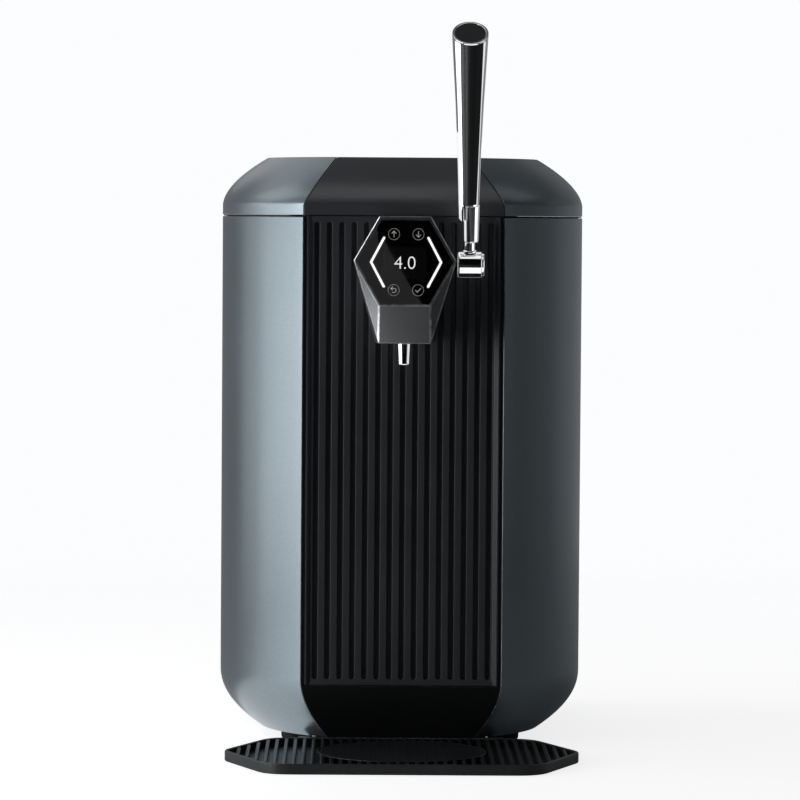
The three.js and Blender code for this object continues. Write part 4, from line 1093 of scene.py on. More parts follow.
class BEERMACHINE_OT_lid(bpy.types.Operator):
    """Build the lid: two painted sides, the black band between them, the liner and the lip"""

    bl_idname = "beer_machine.lid"
    bl_label = "Lid"

    def execute(self, context):
        body = settings().body
        rule = shell_rule("lid rule", True)
        right = rule.applied(piece_of("lid_paint_right", Form()))
        round_crown(right, body.crown_round)
        hollow(right, body.wall)
        left = mirrored(right, "lid_paint_left")
        for piece, node in ((right, "lid_side_right"), (left, "lid_side_left")):
            finish(piece, "shell_paint", "lid", "paint", node, edge=body.edge, steps=3, sharp=50)

        form = Form()
        rows = []
        steps = body.level_steps
        for i in range(-1, steps + 1):
            share = max(0.0, i / steps)
            z = SEAM + GAP if i < 0 else SEAM + body.crown_start + (TOP - SEAM - body.crown_start) * share
            drawn = share ** body.crown_power
            half = BAND - body.crown_band * share ** body.crown_band_power
            front = body.crown_front * drawn
            rear = DEPTH - body.crown_rear * drawn
            rows.append((form.ring([at(-half, front, z), at(half, front, z)]),
                         form.ring([at(half, rear, z), at(-half, rear, z)])))
        for (front, rear), (next_front, next_rear) in zip(rows, rows[1:]):
            form.skin(front, next_front, closed=False)
            form.skin(rear, next_rear, closed=False)
        form.faces.append((*rows[-1][0], *rows[-1][1]))
        band = piece_of("lid_black_band", form)
        round_crown(band, body.crown_round)
        hollow(band, body.wall)
        self.round_sides(band, body.band_rounding)
        finish(band, "lid_black", "lid", "black_moulding", "lid_band", edge=body.edge, steps=3, sharp=50)

        liner = copy_of("lid_liner", "lid_inner")
        finish(liner, "inner_grey", "lid", "inner_moulding", "lid_liner", edge=0.0008, steps=2, sharp=40)
        finish(self.lip(body), "inlet_black", "lid", "black_moulding", edge=0.0003, steps=2, sharp=50)
        return {"FINISHED"}

    def round_sides(self, band, reach):
        """Rounds the black band's long edges, which lie beside the painted sides."""
        middle = Vector((0.0, FRONT + DEPTH / 2, SEAM))
        with opened(band.data) as work:
            edges = []
            for edge in work.edges:
                rims = [f for f in edge.link_faces if abs(f.normal.x) > 0.6]
                skins = [f for f in edge.link_faces if abs(f.normal.x) < 0.3]
                if len(rims) == 1 and len(skins) == 1:
                    if skins[0].normal.dot(skins[0].calc_center_median() - middle) > 0:
                        edges.append(edge)
            round_edges(work, edges, reach, 6)

    def lip(self, body):
        """A thin lip under the lid that hangs inside the body's walls and closes the seam to light."""
        radius = (HALF - BAND) / (1 - body.kink)
        middle = (HALF - radius, radius * math.sqrt(1 - body.kink ** 2))
        across = math.acos((BAND - middle[0]) / radius)
        rear, side_room, front_room = DEPTH - 0.05, 0.0008, 0.0012

        def line(inset):
            inner = radius - body.wall - side_room - inset
            front = settings().panel.thickness + front_room + max(inset, 0.0)
            half = [(middle[0] + inner, rear)]
            for i in range(body.arc_steps + 1):
                turn = across * i / body.arc_steps
                y = middle[1] - inner * math.sin(turn)
                half.append((middle[0] + inner * math.cos(turn), max(y, front)))
            return half + [(-x, y) for x, y in reversed(half)]

        thickness, bottom, ledge = 0.0012, -0.0034, -0.001
        flange, top = -0.0029, GAP - 0.0001
        section = ((0.0, bottom), (thickness, bottom), (thickness, top), (flange, top), (flange, ledge),
                   (0.0, ledge))
        lines = [[at(*spot, SEAM + height) for spot in line(inset)] for inset, height in section]
        return piece_of("lid_lip", lofted([list(ring) for ring in zip(*lines)]))


def hexagon(radius, height=HEAD_HEIGHT):
    """An outline of six (x, z) corners round a middle at a height."""
    return [
        (radius * math.cos(math.pi * i / 3), height + radius * math.sin(math.pi * i / 3))
        for i in range(6)
    ]


def glass_height():
    """Height of the touch glass's middle."""
    return HEAD_HEIGHT - settings().head.glass_drop


def stroke(points, width, y0, y1, cap_steps=8):
    """A line of even width with round ends, as a flat form between two depths."""
    route = [Vector(p) for p in points]
    left, right = [], []
    for i, point in enumerate(route):
        before = (point - route[i - 1]).normalized() if i else (route[1] - point).normalized()
        after = (route[i + 1] - point).normalized() if i + 1 < len(route) else before
        across = Vector((-before.y, before.x)) + Vector((-after.y, after.x))
        across = across.normalized() * (width / 2) / max(0.2, across.length / 2)
        left.append(point + across)
        right.append(point - across)

    def cap(centre, start, turn):
        spoke = start - centre
        made = []
        for i in range(1, cap_steps):
            angle = turn * math.pi * i / cap_steps
            made.append(centre + Vector((
                spoke.x * math.cos(angle) - spoke.y * math.sin(angle),
                spoke.x * math.sin(angle) + spoke.y * math.cos(angle))))
        return made

    outline = left + cap(route[-1], left[-1], -1) + right[::-1] + cap(route[0], right[0], -1)
    return slab([(p.x, p.y) for p in outline], y0, y1)


class BEERMACHINE_OT_head(bpy.types.Operator):
    """Build the six-sided head with its chin and the nozzle under it"""

    bl_idname = "beer_machine.head"
    bl_label = "Head and nozzle"

    def execute(self, context):
        sizes = settings().head
        front = [at(x, HEAD_FRONT, z) for x, z in hexagon(HEAD_RADIUS)]
        upper = [at(x, -GAP, z) for x, z in hexagon(HEAD_RADIUS) if z > HEAD_HEIGHT - HEAD_RADIUS / 2]
        chin = []
        for side in (-1, 1):
            chin += [
                at(side * sizes.chin_half, -GAP, CHIN_BOTTOM),
                at(side * sizes.chin_half, HEAD_FRONT / 2, CHIN_BOTTOM),
                at(side * sizes.chin_front_half, HEAD_FRONT + sizes.chin_setback, CHIN_BOTTOM),
            ]
        head = placed("head_body", bpy.data.meshes.new("head_body"))
        with opened(head.data) as work:
            for point in front + upper + chin:
                work.verts.new(point)
            bmesh.ops.convex_hull(work, input=work.verts)
            bmesh.ops.dissolve_limit(
                work, angle_limit=math.radians(1), verts=work.verts, edges=work.edges)
            limit = math.radians(8)
            # The head's rounded edges are marked for a much lighter colour: a painted highlight along its
            # edges
            layer = work.faces.layers.float.new("wear_and_highlight")
            edges = [e for e in work.edges if e.calc_face_angle(0) > limit]
            for face in round_edges(work, edges, sizes.edge, 4):
                face[layer] = 1.0
            bmesh.ops.recalc_face_normals(work, faces=work.faces)

        # How far each cutter reaches past the housing, the walls that stay, and the rooms inside
        past = 0.01
        side_wall, back_wall, floor = 0.0046, 0.0043, 0.0037
        board_half, board_front, board_top = 0.018, 0.016, 0.0444
        spout_room, shaft_room, shaft_reach = 0.006, 0.0043, 0.06
        glass_back = HEAD_FRONT + sizes.glass_thickness + GAP
        seat = piece_of("seat", slab(hexagon(GLASS_RADIUS + GAP, glass_height()), HEAD_FRONT - past,
                                     glass_back))
        room = piece_of("room", slab(hexagon(HEAD_RADIUS - side_wall), HEAD_FRONT - past, -back_wall))
        pocket = piece_of("pocket", box_of(-board_half, board_half, HEAD_FRONT + board_front, -back_wall,
                                           CHIN_BOTTOM + floor, CHIN_BOTTOM + board_top))
        hole = piece_of("hole", rod(spout_room, CHIN_BOTTOM - past, CHIN_BOTTOM + 2 * past, 64,
                                    (0.0, NOZZLE_Y + FRONT)))
        shaft = piece_of("shaft", rod(shaft_room, 0, shaft_reach, 48),
                         Matrix.Translation((0, PIVOT.y, PIVOT.z)) @ ALONG_X)
        carve(head, seat, room, pocket, hole, shaft)
        finish(head, "head_black", "root", "black_moulding", "head_housing", smooth=28)

        bore, mouth, collar = 0.0025, 0.0046, 0.0057
        bottom, top = low("nozzle").z, CHIN_BOTTOM + floor
        profile = softened([
            (bore, top), (bore, bottom), (mouth, bottom), (mouth + 0.0002, bottom + 0.0012),
            (collar, CHIN_BOTTOM - GAP), (collar, top), (bore, top)], 0.0005)
        nozzle = piece_of("spout", turned(profile, 96, (0.0, NOZZLE_Y + FRONT)))
        finish(nozzle, "chrome", "root", "chrome", "nozzle")
        return {"FINISHED"}


# Signs of the touch keys, as lines of (x, z) points from the key's middle
ARROW = (
    ((0.0, -0.0024), (0.0, 0.0024)),
    ((-0.0019, 0.0006), (0.0, 0.0025), (0.0019, 0.0006)),
)
TICK = (((-0.0022, 0.0), (-0.0006, -0.0017), (0.0024, 0.0018)),)
BEND = [
    (0.0004 + 0.0017 * math.cos(math.radians(90 - 20 * i)),
     -0.0003 + 0.0017 * math.sin(math.radians(90 - 20 * i)))
    for i in range(10)
]
BACK = (
    ((-0.0022, 0.0014), *BEND, (-0.0012, -0.002)),
    ((-0.0008, 0.0028), (-0.0023, 0.0014), (-0.0008, 0.0)),
)

# The touch keys: place from the glass's middle, sign, and 1 or -1 for a sign that stands on its head
KEYS = (
    (-0.0096, 0.0240, ARROW, 1),
    (0.0113, 0.0240, ARROW, -1),
    (0.0113, -0.0239, TICK, 1),
    (-0.0096, -0.0239, BACK, 1),
)


def chevron_points(side):
    """The middle line of a lit chevron, as (x, z) pairs."""
    tip_margin, end_margin, rise = 0.01175, 0.0227, 0.0208
    shift, middle = settings().head.chevron_shift, glass_height()
    tip = side * (GLASS_RADIUS - tip_margin) + shift
    end = side * (GLASS_RADIUS - end_margin) + shift
    return [(end, middle - rise), (tip, middle), (end, middle + rise)]


class BEERMACHINE_OT_touch_face(bpy.types.Operator):
    """Build the touch glass, its lit chevrons, its display and the marks of its touch keys"""

    bl_idname = "beer_machine.touch_face"
    bl_label = "Touch face"

    def execute(self, context):
        sizes = settings().head
        back = HEAD_FRONT + sizes.glass_thickness
        glass = piece_of("touch_glass", slab(hexagon(GLASS_RADIUS, glass_height()), HEAD_FRONT, back))
        lit_depth, pocket_depth, past = 0.0008, 0.0011, 0.002
        for side in (-1, 1):
            pocket = stroke(chevron_points(side), sizes.glow_width + 2 * GAP, HEAD_FRONT - past,
                            HEAD_FRONT + pocket_depth)
            carve(glass, piece_of("pocket", pocket))
        finish(glass, "touch_glass", "root", "gloss_black", "head_glass", edge=0.00035, steps=3, sharp=50)
        for side, word in ((-1, "left"), (1, "right")):
            form = stroke(chevron_points(side), sizes.glow_width, HEAD_FRONT, HEAD_FRONT + lit_depth)
            lit = piece_of("lit_chevron_" + word, form)
            finish(lit, "lit_chevron", "root", "light_pipe", "light_guide_" + word, edge=0.0002, steps=2,
                   sharp=50)
        self.display()
        self.keys(sizes)
        return {"FINISHED"}

    def display(self):
        """The slightly lighter window with a plain number in it."""
        proud, sunk, skin = 0.00006, 0.0004, 0.00004
        half, rise, lift = 0.0181, 0.0137, -0.001
        number_size, number_thinning, number_depth = 0.0158, -0.00022, 0.00005
        front = HEAD_FRONT - proud
        middle = glass_height() + lift
        outline = [(-half, middle - rise), (half, middle - rise), (half, middle + rise),
                   (-half, middle + rise)]
        window = piece_of("display_window", slab(outline, front, HEAD_FRONT + sunk))
        finish(window, "window_glass", "root", "gloss_black", edge=0.00003, steps=1, sharp=50)
        curve = bpy.data.curves.new("reading", "FONT")
        curve.body = settings().reading
        curve.size = number_size
        curve.offset = number_thinning
        curve.align_x = "CENTER"
        curve.align_y = "CENTER"
        curve.extrude = number_depth
        curve.resolution_u = 6
        words = placed("reading", curve)
        bpy.context.view_layer.update()
        graph = bpy.context.evaluated_depsgraph_get()
        mesh = bpy.data.meshes.new_from_object(words.evaluated_get(graph))
        bpy.data.objects.remove(words)
        upright = Matrix.Rotation(math.radians(90), 4, "X")
        mesh.transform(Matrix.Translation(at(0, front - skin, middle)) @ upright)
        finish(placed("display_number", mesh), "lit_number", "root", "light_pipe")

    def keys(self, sizes):
        """Rings and signs of the four touch keys: up, down, confirm and back."""
        front, rear = HEAD_FRONT - 0.00008, HEAD_FRONT + 0.0002
        ring_width, sign_width = 0.00042, 0.00062
        rule = Rule("key ring rule")
        radius = rule.ask("Radius", sizes.key_radius)
        thin = rule.ask("Width", ring_width)
        material = rule.ask("Material", LOOKS["key_ring"], "NodeSocketMaterial")
        circle = rule.node("GeometryNodeCurvePrimitiveCircle", Resolution=48, Radius=radius)
        section = rule.node("GeometryNodeCurvePrimitiveQuadrilateral", Width=thin, Height=rear - front)
        ring = rule.node("GeometryNodeCurveToMesh", Curve=circle.outputs[0],
                         Profile_Curve=section.outputs[0])
        upright = rule.node("GeometryNodeTransform", Geometry=ring.outputs[0],
                            Rotation=(math.radians(90), 0.0, 0.0))
        rule.repeat(rule.given.outputs[0], upright.outputs[0], material)
        places = Form()
        places.ring([at(x, (front + rear) / 2, glass_height() + z) for x, z, sign, way in KEYS])
        rings = rule.applied(piece_of("key_rings", places))
        strokes = [
            stroke([(x + px, glass_height() + z + pz * way) for px, pz in points], sign_width, front, rear)
            for x, z, sign, way in KEYS
            for points in sign
        ]
        signs = [piece_of("key_signs", form) for form in strokes]
        finish(rings, "key_ring", "root", "light_pipe")
        finish(add_to(signs[0], *signs[1:]), "key_sign", "root", "light_pipe")


def lever_place():
    """From the lever's own upright axis to its place in the frame."""
    return Matrix.Translation(PIVOT) @ Matrix.Rotation(settings().lever.lean, 4, "X")


# Outlines of the lever's turned parts, as (radius, height) pairs; the barrel and its cap lie along x
BARREL_HALF = 0.0101
BARREL = (
    (0, -BARREL_HALF), (0.010, -BARREL_HALF), (0.011, -BARREL_HALF + 0.001), (0.011, BARREL_HALF),
    (0, BARREL_HALF),
)
END_CAP = (
    (0, BARREL_HALF + GAP), (0.0096, BARREL_HALF + GAP), (0.0096, BARREL_HALF + 0.0018),
    (0.0089, BARREL_HALF + 0.0025), (0, BARREL_HALF + 0.0025),
)
BARREL_ROOM = 0.0113
COLLAR = (
    (0, 0.0108), (0.0057, 0.0108), (0.0057, 0.0124), (0.0043, 0.0126), (0.0043, 0.0197), (0, 0.0197),
)
SLEEVE = ((0, 0.02), (0.0054, 0.02), (0.0061, 0.0208), (0.0068, 0.052), (0, 0.052))

# The handle's half widths from its foot to above its slanted top, as (radius, height) pairs
HANDLE_SIDE = (
    (0.0082, 0.037), (0.0088, 0.055), (0.0102, 0.098), (0.0122, 0.142), (0.0147, 0.184),
    (0.0156, 0.2), (0.0162, 0.214),
)
HANDLE_TOP_RADIUS = 0.0156


class BEERMACHINE_OT_lever(bpy.types.Operator):
    """Build the chrome barrel, neck and ferrule of the tap lever"""

    bl_idname = "beer_machine.lever"
    bl_label = "Tap lever"

    def execute(self, context):
        sizes = settings().lever
        upright = lever_place()
        across = upright @ ALONG_X
        aside = upright @ Matrix.Translation((sizes.sleeve_shift, 0, 0))
        for name, outline, soft, place, node in (
            ("pivot_barrel", BARREL, 0.0006, across, "lever_barrel"),
            ("pivot_cap", END_CAP, 0.0004, across, "lever_end_cap"),
            ("lever_collar", COLLAR, 0.0004, upright, "lever_neck"),
            ("lever_sleeve", SLEEVE, 0.0004, aside, "lever_ferrule"),
        ):
            piece = piece_of(name, turned(softened(outline, soft), sizes.steps), place)
            if outline is COLLAR:
                reach = 0.02
                carve(piece, piece_of("around", rod(BARREL_ROOM, -reach, reach, sizes.steps), across))
            finish(piece, "chrome", "lever", "chrome", node)
        return {"FINISHED"}


class BEERMACHINE_OT_handle(bpy.types.Operator):
    """Build the handle: chrome shell, black insert and the ringed slanted top"""

    bl_idname = "beer_machine.handle"
    bl_label = "Handle"

    def whole(self, name):
        """The whole handle, tapering smoothly from its top to its foot."""
        outline = softened(HANDLE_SIDE, 0.012, 6)
        closed = [(0, HANDLE_SIDE[0][1]), *outline, (0, HANDLE_SIDE[-1][1])]
        return piece_of(name, turned(closed, settings().lever.steps))

    def wedge(self, height, tilt):
        """A large block above a slanted plane through the axis."""
        size = 0.08
        form = block(-size, size, -size, size, 0.0, size)
        return piece_of("wedge", form, Matrix.Translation((0, 0, height)) @ Matrix.Rotation(tilt, 4, "X"))

    def channel(self, clear):
        """The room of the black insert, tapering with the handle."""
        lower, upper = 0.054 - clear, 0.22
        foot, head = 0.0086, 0.0162
        left, right = 0.57, 0.72
        outline = [(-foot * left - clear, lower), (foot * right + clear, lower),
                   (head * right + clear, upper), (-head * left - clear, upper)]
        back = -settings().lever.insert_depth + clear
        form = lofted([[Vector((x, y, z)) for x, z in outline] for y in (-0.03, back)])
        return piece_of("channel", form)

    def oval(self, inset, radius, height):
        """An oval as the slanted plane cuts a round bar, drawn in by inset."""
        sizes = settings().lever
        along = HANDLE_TOP_RADIUS / math.cos(sizes.tilt) + radius - HANDLE_TOP_RADIUS
        return [
            Vector(((radius - inset) * math.cos(a), (along - inset) * math.sin(a), height))
            for a in (2 * math.pi * i / sizes.steps for i in range(sizes.steps))
        ]

    def execute(self, context):
        sizes = settings().lever
        place = (lever_place() @ Matrix.Translation((-sizes.offset, 0, 0))
                 @ Matrix.Rotation(-sizes.side_lean, 4, "Y"))
        shell = self.whole("handle_chrome")
        bore_radius, bore_bottom, bore_top = 0.0071, 0.03, 0.0523
        tongue = sizes.offset - 0.007
        slant_height, slant_tilt, wide = 0.0388, math.radians(40), 0.03
        bore = piece_of("bore", rod(bore_radius, bore_bottom, bore_top, sizes.steps,
                                    (sizes.offset + sizes.sleeve_shift, 0.0)))
        opening = piece_of("opening", block(tongue, wide, -wide, 0.002, 0.0, bore_top))
        tilted = (Matrix.Translation((tongue, 0, slant_height))
                  @ Matrix.Rotation(slant_tilt, 4, "Y"))
        slant = piece_of("slant", block(-wide, 0.05, -wide, wide, -wide, 0.0), tilted)
        carve(shell, self.wedge(sizes.top, sizes.tilt), self.channel(GAP), opening, slant, bore)
        insert = self.whole("handle_core")
        carve(insert, self.channel(0.0), operation="INTERSECT")
        carve(insert, self.wedge(sizes.top, sizes.tilt))
        for piece in (shell, insert):
            piece.data.transform(place)
        soft = {"edge": 0.0004, "steps": 3, "sharp": 40, "smooth": 35}
        finish(shell, "chrome", "lever", "chrome", "handle_body", **soft)
        finish(insert, "handle_black", "lever", "black_moulding", "handle_insert", **soft)

        slope = place @ Matrix.Translation((0, 0, sizes.top)) @ Matrix.Rotation(sizes.tilt, 4, "X")
        width, height = 0.0023, 0.002
        section = softened([(width, GAP), (0.0, GAP), (0.0, GAP + height), (width, GAP + height),
                            (width, GAP)], 0.0007)[:-1]
        ring = hooped([self.oval(inset, HANDLE_TOP_RADIUS, z) for inset, z in section])
        finish(piece_of("top_ring", ring, slope), "chrome", "lever", "chrome", "handle_ring")
        disc = lofted([
            self.oval(inset, HANDLE_TOP_RADIUS - 0.0026, z)
            for inset, z in ((0, GAP), (0, 0.0016), (0.00015, 0.0019), (0.0004, 0.002))
        ])
        finish(piece_of("top_disc", disc, slope), "touch_glass", "lever", "gloss_black", "handle_disc")
        return {"FINISHED"}


def tray_outline(inset):
    """The tray's six-sided plan outline, drawn in by inset."""
    half = settings().tray.front_half - inset / 2
    front, rear = TRAY_FRONT + inset, -GAP - inset
    return [(-half, front), (half, front), (TRAY_TIP - inset, TRAY_MIDDLE), (half, rear), (-half, rear),
            (-TRAY_TIP + inset, TRAY_MIDDLE)]


def rounded_outline(points, radii, steps=8):
    """Rounds the corners of a closed outline of (x, y) points, each by its own reach."""
    made = []
    count = len(points)
    for i, corner in enumerate(points):
        corner = Vector(corner)
        before = (Vector(points[i - 1]) - corner).normalized() * radii[i]
        after = (Vector(points[(i + 1) % count]) - corner).normalized() * radii[i]
        for k in range(steps + 1):
            t = k / steps
            place = ((corner + before) * (1 - t) ** 2 + corner * (2 * t * (1 - t))
                     + (corner + after) * t ** 2)
            made.append((place.x, place.y))
    return made


def tray_ring(inset, height):
    """The tray's rounded outline, drawn in by inset, at a height."""
    rounding = settings().tray.rounding - inset * 0.6
    tip = rounding * 0.55
    radii = (rounding, rounding, tip, rounding, rounding, tip)
    return [at(x, y, height) for x, y in rounded_outline(tray_outline(inset), radii)]


class BEERMACHINE_OT_tray(bpy.types.Operator):
    """Build the drip tray"""

    bl_idname = "beer_machine.tray"
    bl_label = "Drip tray"

    def execute(self, context):
        seat = low("drip_grid").z - GAP
        floor, tongue_half = 0.0016, 0.09
        pan = piece_of("drip_pan", lofted([tray_ring(inset, height) for inset, height in (
            (0.0009, 0.0), (0.0, 0.0009), (0.0, TRAY_TOP - 0.0014), (0.0003, TRAY_TOP - 0.0005),
            (0.001, TRAY_TOP - 0.0001), (0.0017, TRAY_TOP), (0.002, TRAY_TOP - 0.0003), (0.002, seat),
            (0.004, seat), (0.004, floor))]))
        tongue = piece_of("tongue", box_of(-tongue_half, tongue_half, -0.0023, TRAY_REAR, 0.0, BASE - GAP))
        carve(pan, tongue, operation="UNION")
        finish(pan, "tray_black", "tray", "black_moulding", "tray_pan", edge=0.0003, steps=2, sharp=45)
        return {"FINISHED"}


class BEERMACHINE_OT_drip_grid(bpy.types.Operator):
    """Build the tray's grid: a frame, ribs from front to back and a flat round plate"""

    bl_idname = "beer_machine.drip_grid"
    bl_label = "Drip grid"

    def execute(self, context):
        sizes = settings().tray
        top = high("drip_grid").z
        bottom = low("drip_grid").z
        inset, rib_drop = 0.0023, 0.0003
        outer = tray_ring(inset, 0.0)
        inner = tray_ring(inset + sizes.frame, 0.0)
        frame_piece = piece_of("grid_frame", hooped([
            [Vector((p.x, p.y, height)) for p in ring]
            for ring, height in ((outer, bottom), (outer, top), (inner, top), (inner, bottom))
        ]))

        rule = Rule("grid rib rule")
        pitch = rule.ask("Pitch", sizes.pitch)
        tip = rule.ask("Tip", TRAY_TIP - inset - sizes.frame / 2)
        half_depth = (-GAP - TRAY_FRONT) / 2
        slope = rule.ask("Slope", (TRAY_TIP - sizes.front_half) / half_depth)
        longest = rule.ask("Half Length", half_depth - inset - sizes.frame / 2)
        count = rule.ask("Ribs", sizes.ribs, "NodeSocketInt")
        material = rule.ask("Material", LOOKS["grid_enamel"], "NodeSocketMaterial")
        first = (count - 1.0) * pitch * -0.5
        row = rule.line(count, rule.vector(first, FRONT + TRAY_MIDDLE, 0.0),
                        rule.vector(pitch, 0.0, 0.0))
        x = (rule.index() * pitch + first).step("ABSOLUTE") + sizes.rib / 2
        length = ((tip - x) / slope).step("MINIMUM", longest)
        rule.repeat(row, rule.given.outputs[0], material, Scale=rule.vector(1.0, length, 1.0))
        ribs = rule.applied(piece_of("grid_ribs", self.rib(sizes, bottom, top - rib_drop)))

        lift, dish, soft = 0.0002, 0.0004, 0.0004
        plate = piece_of("grid_plate", turned(softened([
            (0, bottom + lift), (sizes.disc - 0.001, bottom + lift), (sizes.disc, bottom + lift + 0.001),
            (sizes.disc, top), (sizes.disc - 0.0009, top), (sizes.disc - 0.0014, top - dish),
            (0, top - dish)], soft), 128, (0.0, TRAY_MIDDLE + FRONT)))
        add_to(ribs, plate)
        grid = add_to(frame_piece, ribs)
        finish(grid, "grid_enamel", "grid", "black_metal", "drip_grid", edge=0.0003, steps=2, sharp=55)
        return {"FINISHED"}

    def rib(self, sizes, bottom, top):
        """One rib of unit half length with a rounded top."""
        half, shoulder, brow = sizes.rib / 2, top - 0.0007, top - 0.0002
        profile = [
            (-half, bottom), (-half, shoulder), (-half * 0.85, brow), (-half * 0.5, top),
            (half * 0.5, top), (half * 0.85, brow), (half, shoulder), (half, bottom),
        ]
        return lofted([[Vector((x, y, z)) for x, z in profile] for y in (-1.0, 1.0)])


class BEERMACHINE_OT_rear(bpy.types.Operator):
    """Build the rear panel with its vents, the power inlet and the hinges"""

    bl_idname = "beer_machine.rear"
    bl_label = "Rear"

    def execute(self, context):
        panel = copy_of("rear_panel", "vented_rear")
        finish(panel, "band_black", "root", "black_moulding", "rear_panel", edge=0.0006, steps=2, sharp=35)
        inlet = copy_of("power_inlet", "inlet_socket")
        finish(inlet, "inlet_black", "root", "inner_moulding", "power_inlet", edge=0.0005, steps=2,
               sharp=35)
        for side in ("left", "right"):
            for node, body in (("hinge_body_leaf", "root"), ("hinge_lid_leaf", "lid"),
                               ("hinge_pin", "root")):
                name = node + "_" + side
                leaf = copy_of(name, name.replace("hinge", "steel"))
                finish(leaf, "stainless", body, "stainless", name, edge=0.00035, steps=2, sharp=40)
        self.screws()
        return {"FINISHED"}

    def screws(self):
        """Round screw heads on the rear panel, each with a slot."""
        radius, thickness, lift = 0.0034, 0.0011, 0.0004
        slot_half, slot_width, slot_floor, past = 0.0022, 0.0004, 0.0006, 0.002
        spots = [(x, z) for x in (-0.08, 0.08) for z in (0.078, 0.2, 0.39)]
        rule = Rule("screw rule")
        material = rule.ask("Material", LOOKS["stainless"], "NodeSocketMaterial")
        head = rule.ask("Head Radius", radius)
        bar = rule.node("GeometryNodeMeshCylinder", Vertices=24, Side_Segments=1, Radius=head,
                        Depth=thickness)
        turned_bar = rule.node("GeometryNodeTransform", Geometry=bar.outputs[0],
                               Rotation=(math.radians(90), 0.0, 0.0))
        rule.repeat(rule.given.outputs[0], turned_bar.outputs[0], material)
        places = Form()
        places.ring([at(x, DEPTH + lift, z) for x, z in spots])
        screws = rule.applied(piece_of("rear_screws", places))
        slots = [
            piece_of("slot", box_of(x - slot_half, x + slot_half, DEPTH + slot_floor, DEPTH + past,
                                    z - slot_width, z + slot_width))
            for x, z in spots
        ]
        carve(screws, add_to(slots[0], *slots[1:]))
        finish(screws, "stainless", "root", "stainless", edge=0.0002, steps=2, sharp=50)


class BEERMACHINE_OT_base(bpy.types.Operator):
    """Build the base plate and its four rubber feet"""

    bl_idname = "beer_machine.base"
    bl_label = "Base and feet"

    def execute(self, context):
        plate = copy_of("base_plate", "floor_plate")
        finish(plate, "inner_grey", "root", "inner_moulding", "base_plate", edge=0.0006, steps=2, sharp=40)
        for place in ("front_left", "front_right", "rear_left", "rear_right"):
            node = "foot_" + place
            x, y, _ = centre_of(node)
            top, radius = low("base_plate").z - GAP, high(node).x - x
            dish, stem = 0.0006, 0.004
            profile = softened([
                (0, dish), (radius * 0.3, dish), (radius * 0.36, 0.0), (radius * 0.86, 0.0),
                (radius * 0.99, top * 0.45), (radius, top), (stem, top), (stem, high(node).z),
                (0, high(node).z)], 0.0008)
            foot = piece_of("rubber_" + place, turned(profile, 64, (x, y)))
            finish(foot, "rubber", "root", "rubber", node)
        return {"FINISHED"}


PLAIN_LOOKS = {
    "inner_moulding": "inner_grey",
    "tube": "beer_hose",
    "rubber": "rubber",
    "aluminium": "aluminium",
    "black_metal": "enamel_black",
    "circuit": "circuit_green",
    "black_moulding": "inlet_black",
    "stainless": "stainless",
    "brass": "brass",
    "foam": "foam",
    "keg_steel": "keg_steel",
}


class BEERMACHINE_OT_works(bpy.types.Operator):
    """Give the inner works their finishes: keg, chamber, cooling, valve and electrics"""

    bl_idname = "beer_machine.works"
    bl_label = "Inner works"

    def execute(self, context):
        for node in NODES.values():
            if node.hide_render:
                continue
            for slot in node.material_slots:
                plain = PLAIN_LOOKS[slot.material.name.split(".")[0]]
                # The stainless lever shaft gets the dark steel: painted shade in the gap beside the head
                slot.material = LOOKS["dark_steel" if node.name == "lever_shaft" else plain]
        return {"FINISHED"}


# Soft boxes at one distance round the machine: name, azimuth in degrees to the left of the front,
# height, width, length and radiance, which is how bright the face of a box looks. Each faces a place
# near the machine's middle, a little to its own side and a little lower
RING_DISTANCE = 1.45
RING_ASIDE = 0.12
RING_LOWER = 0.9
RING_BOXES = (
    ("left_front_box", 50, 0.33, 0.46, 0.62, 3.4),
    ("left_box", 68, 0.33, 0.46, 0.62, 2.0),
    ("left_side_box", 86, 0.33, 0.46, 0.62, 1.7),
    ("left_rear_low_box", 106, 0.33, 0.46, 0.62, 0.64),
    ("left_rear_box", 106, 1.0, 0.46, 0.72, 0.34),
    ("right_front_box", -55, 0.65, 0.7, 1.2, 0.15),
    ("right_box", -85, 0.65, 0.7, 1.2, 0.05),
    ("right_rear_box", -120, 0.65, 0.7, 1.2, 0.08),
    ("right_back_box", -150, 0.65, 0.7, 1.2, 0.09),
)

# Soft boxes above the machine: name, azimuth, rise in degrees and radiance
TOP_DISTANCE = 1.7
TOP_TARGET = (0.0, 0.0, 0.5)
TOP_SIZE = (0.8, 0.7)
TOP_BOXES = (
    ("left_top_box", 75, 42, 0.25),
    ("left_rear_top_box", 110, 42, 1.1),
    ("rear_top_box", 150, 45, 0.48),
    ("right_top_box", -100, 50, 0.23),
)

# Boxes by name, place, target, width, length and radiance, and for some a turn in degrees about the
# line of sight
LONE_BOXES = (
    ("rear_box", (-0.6, 2.6, 1.6), (0.0, 0.2, 0.3), 1.2, 1.0, 0.45),
    ("glass_card", (-0.235, -3.95, 0.245), (0.0, -0.186, 0.245), 0.6, 0.6, 0.2, 31),
)

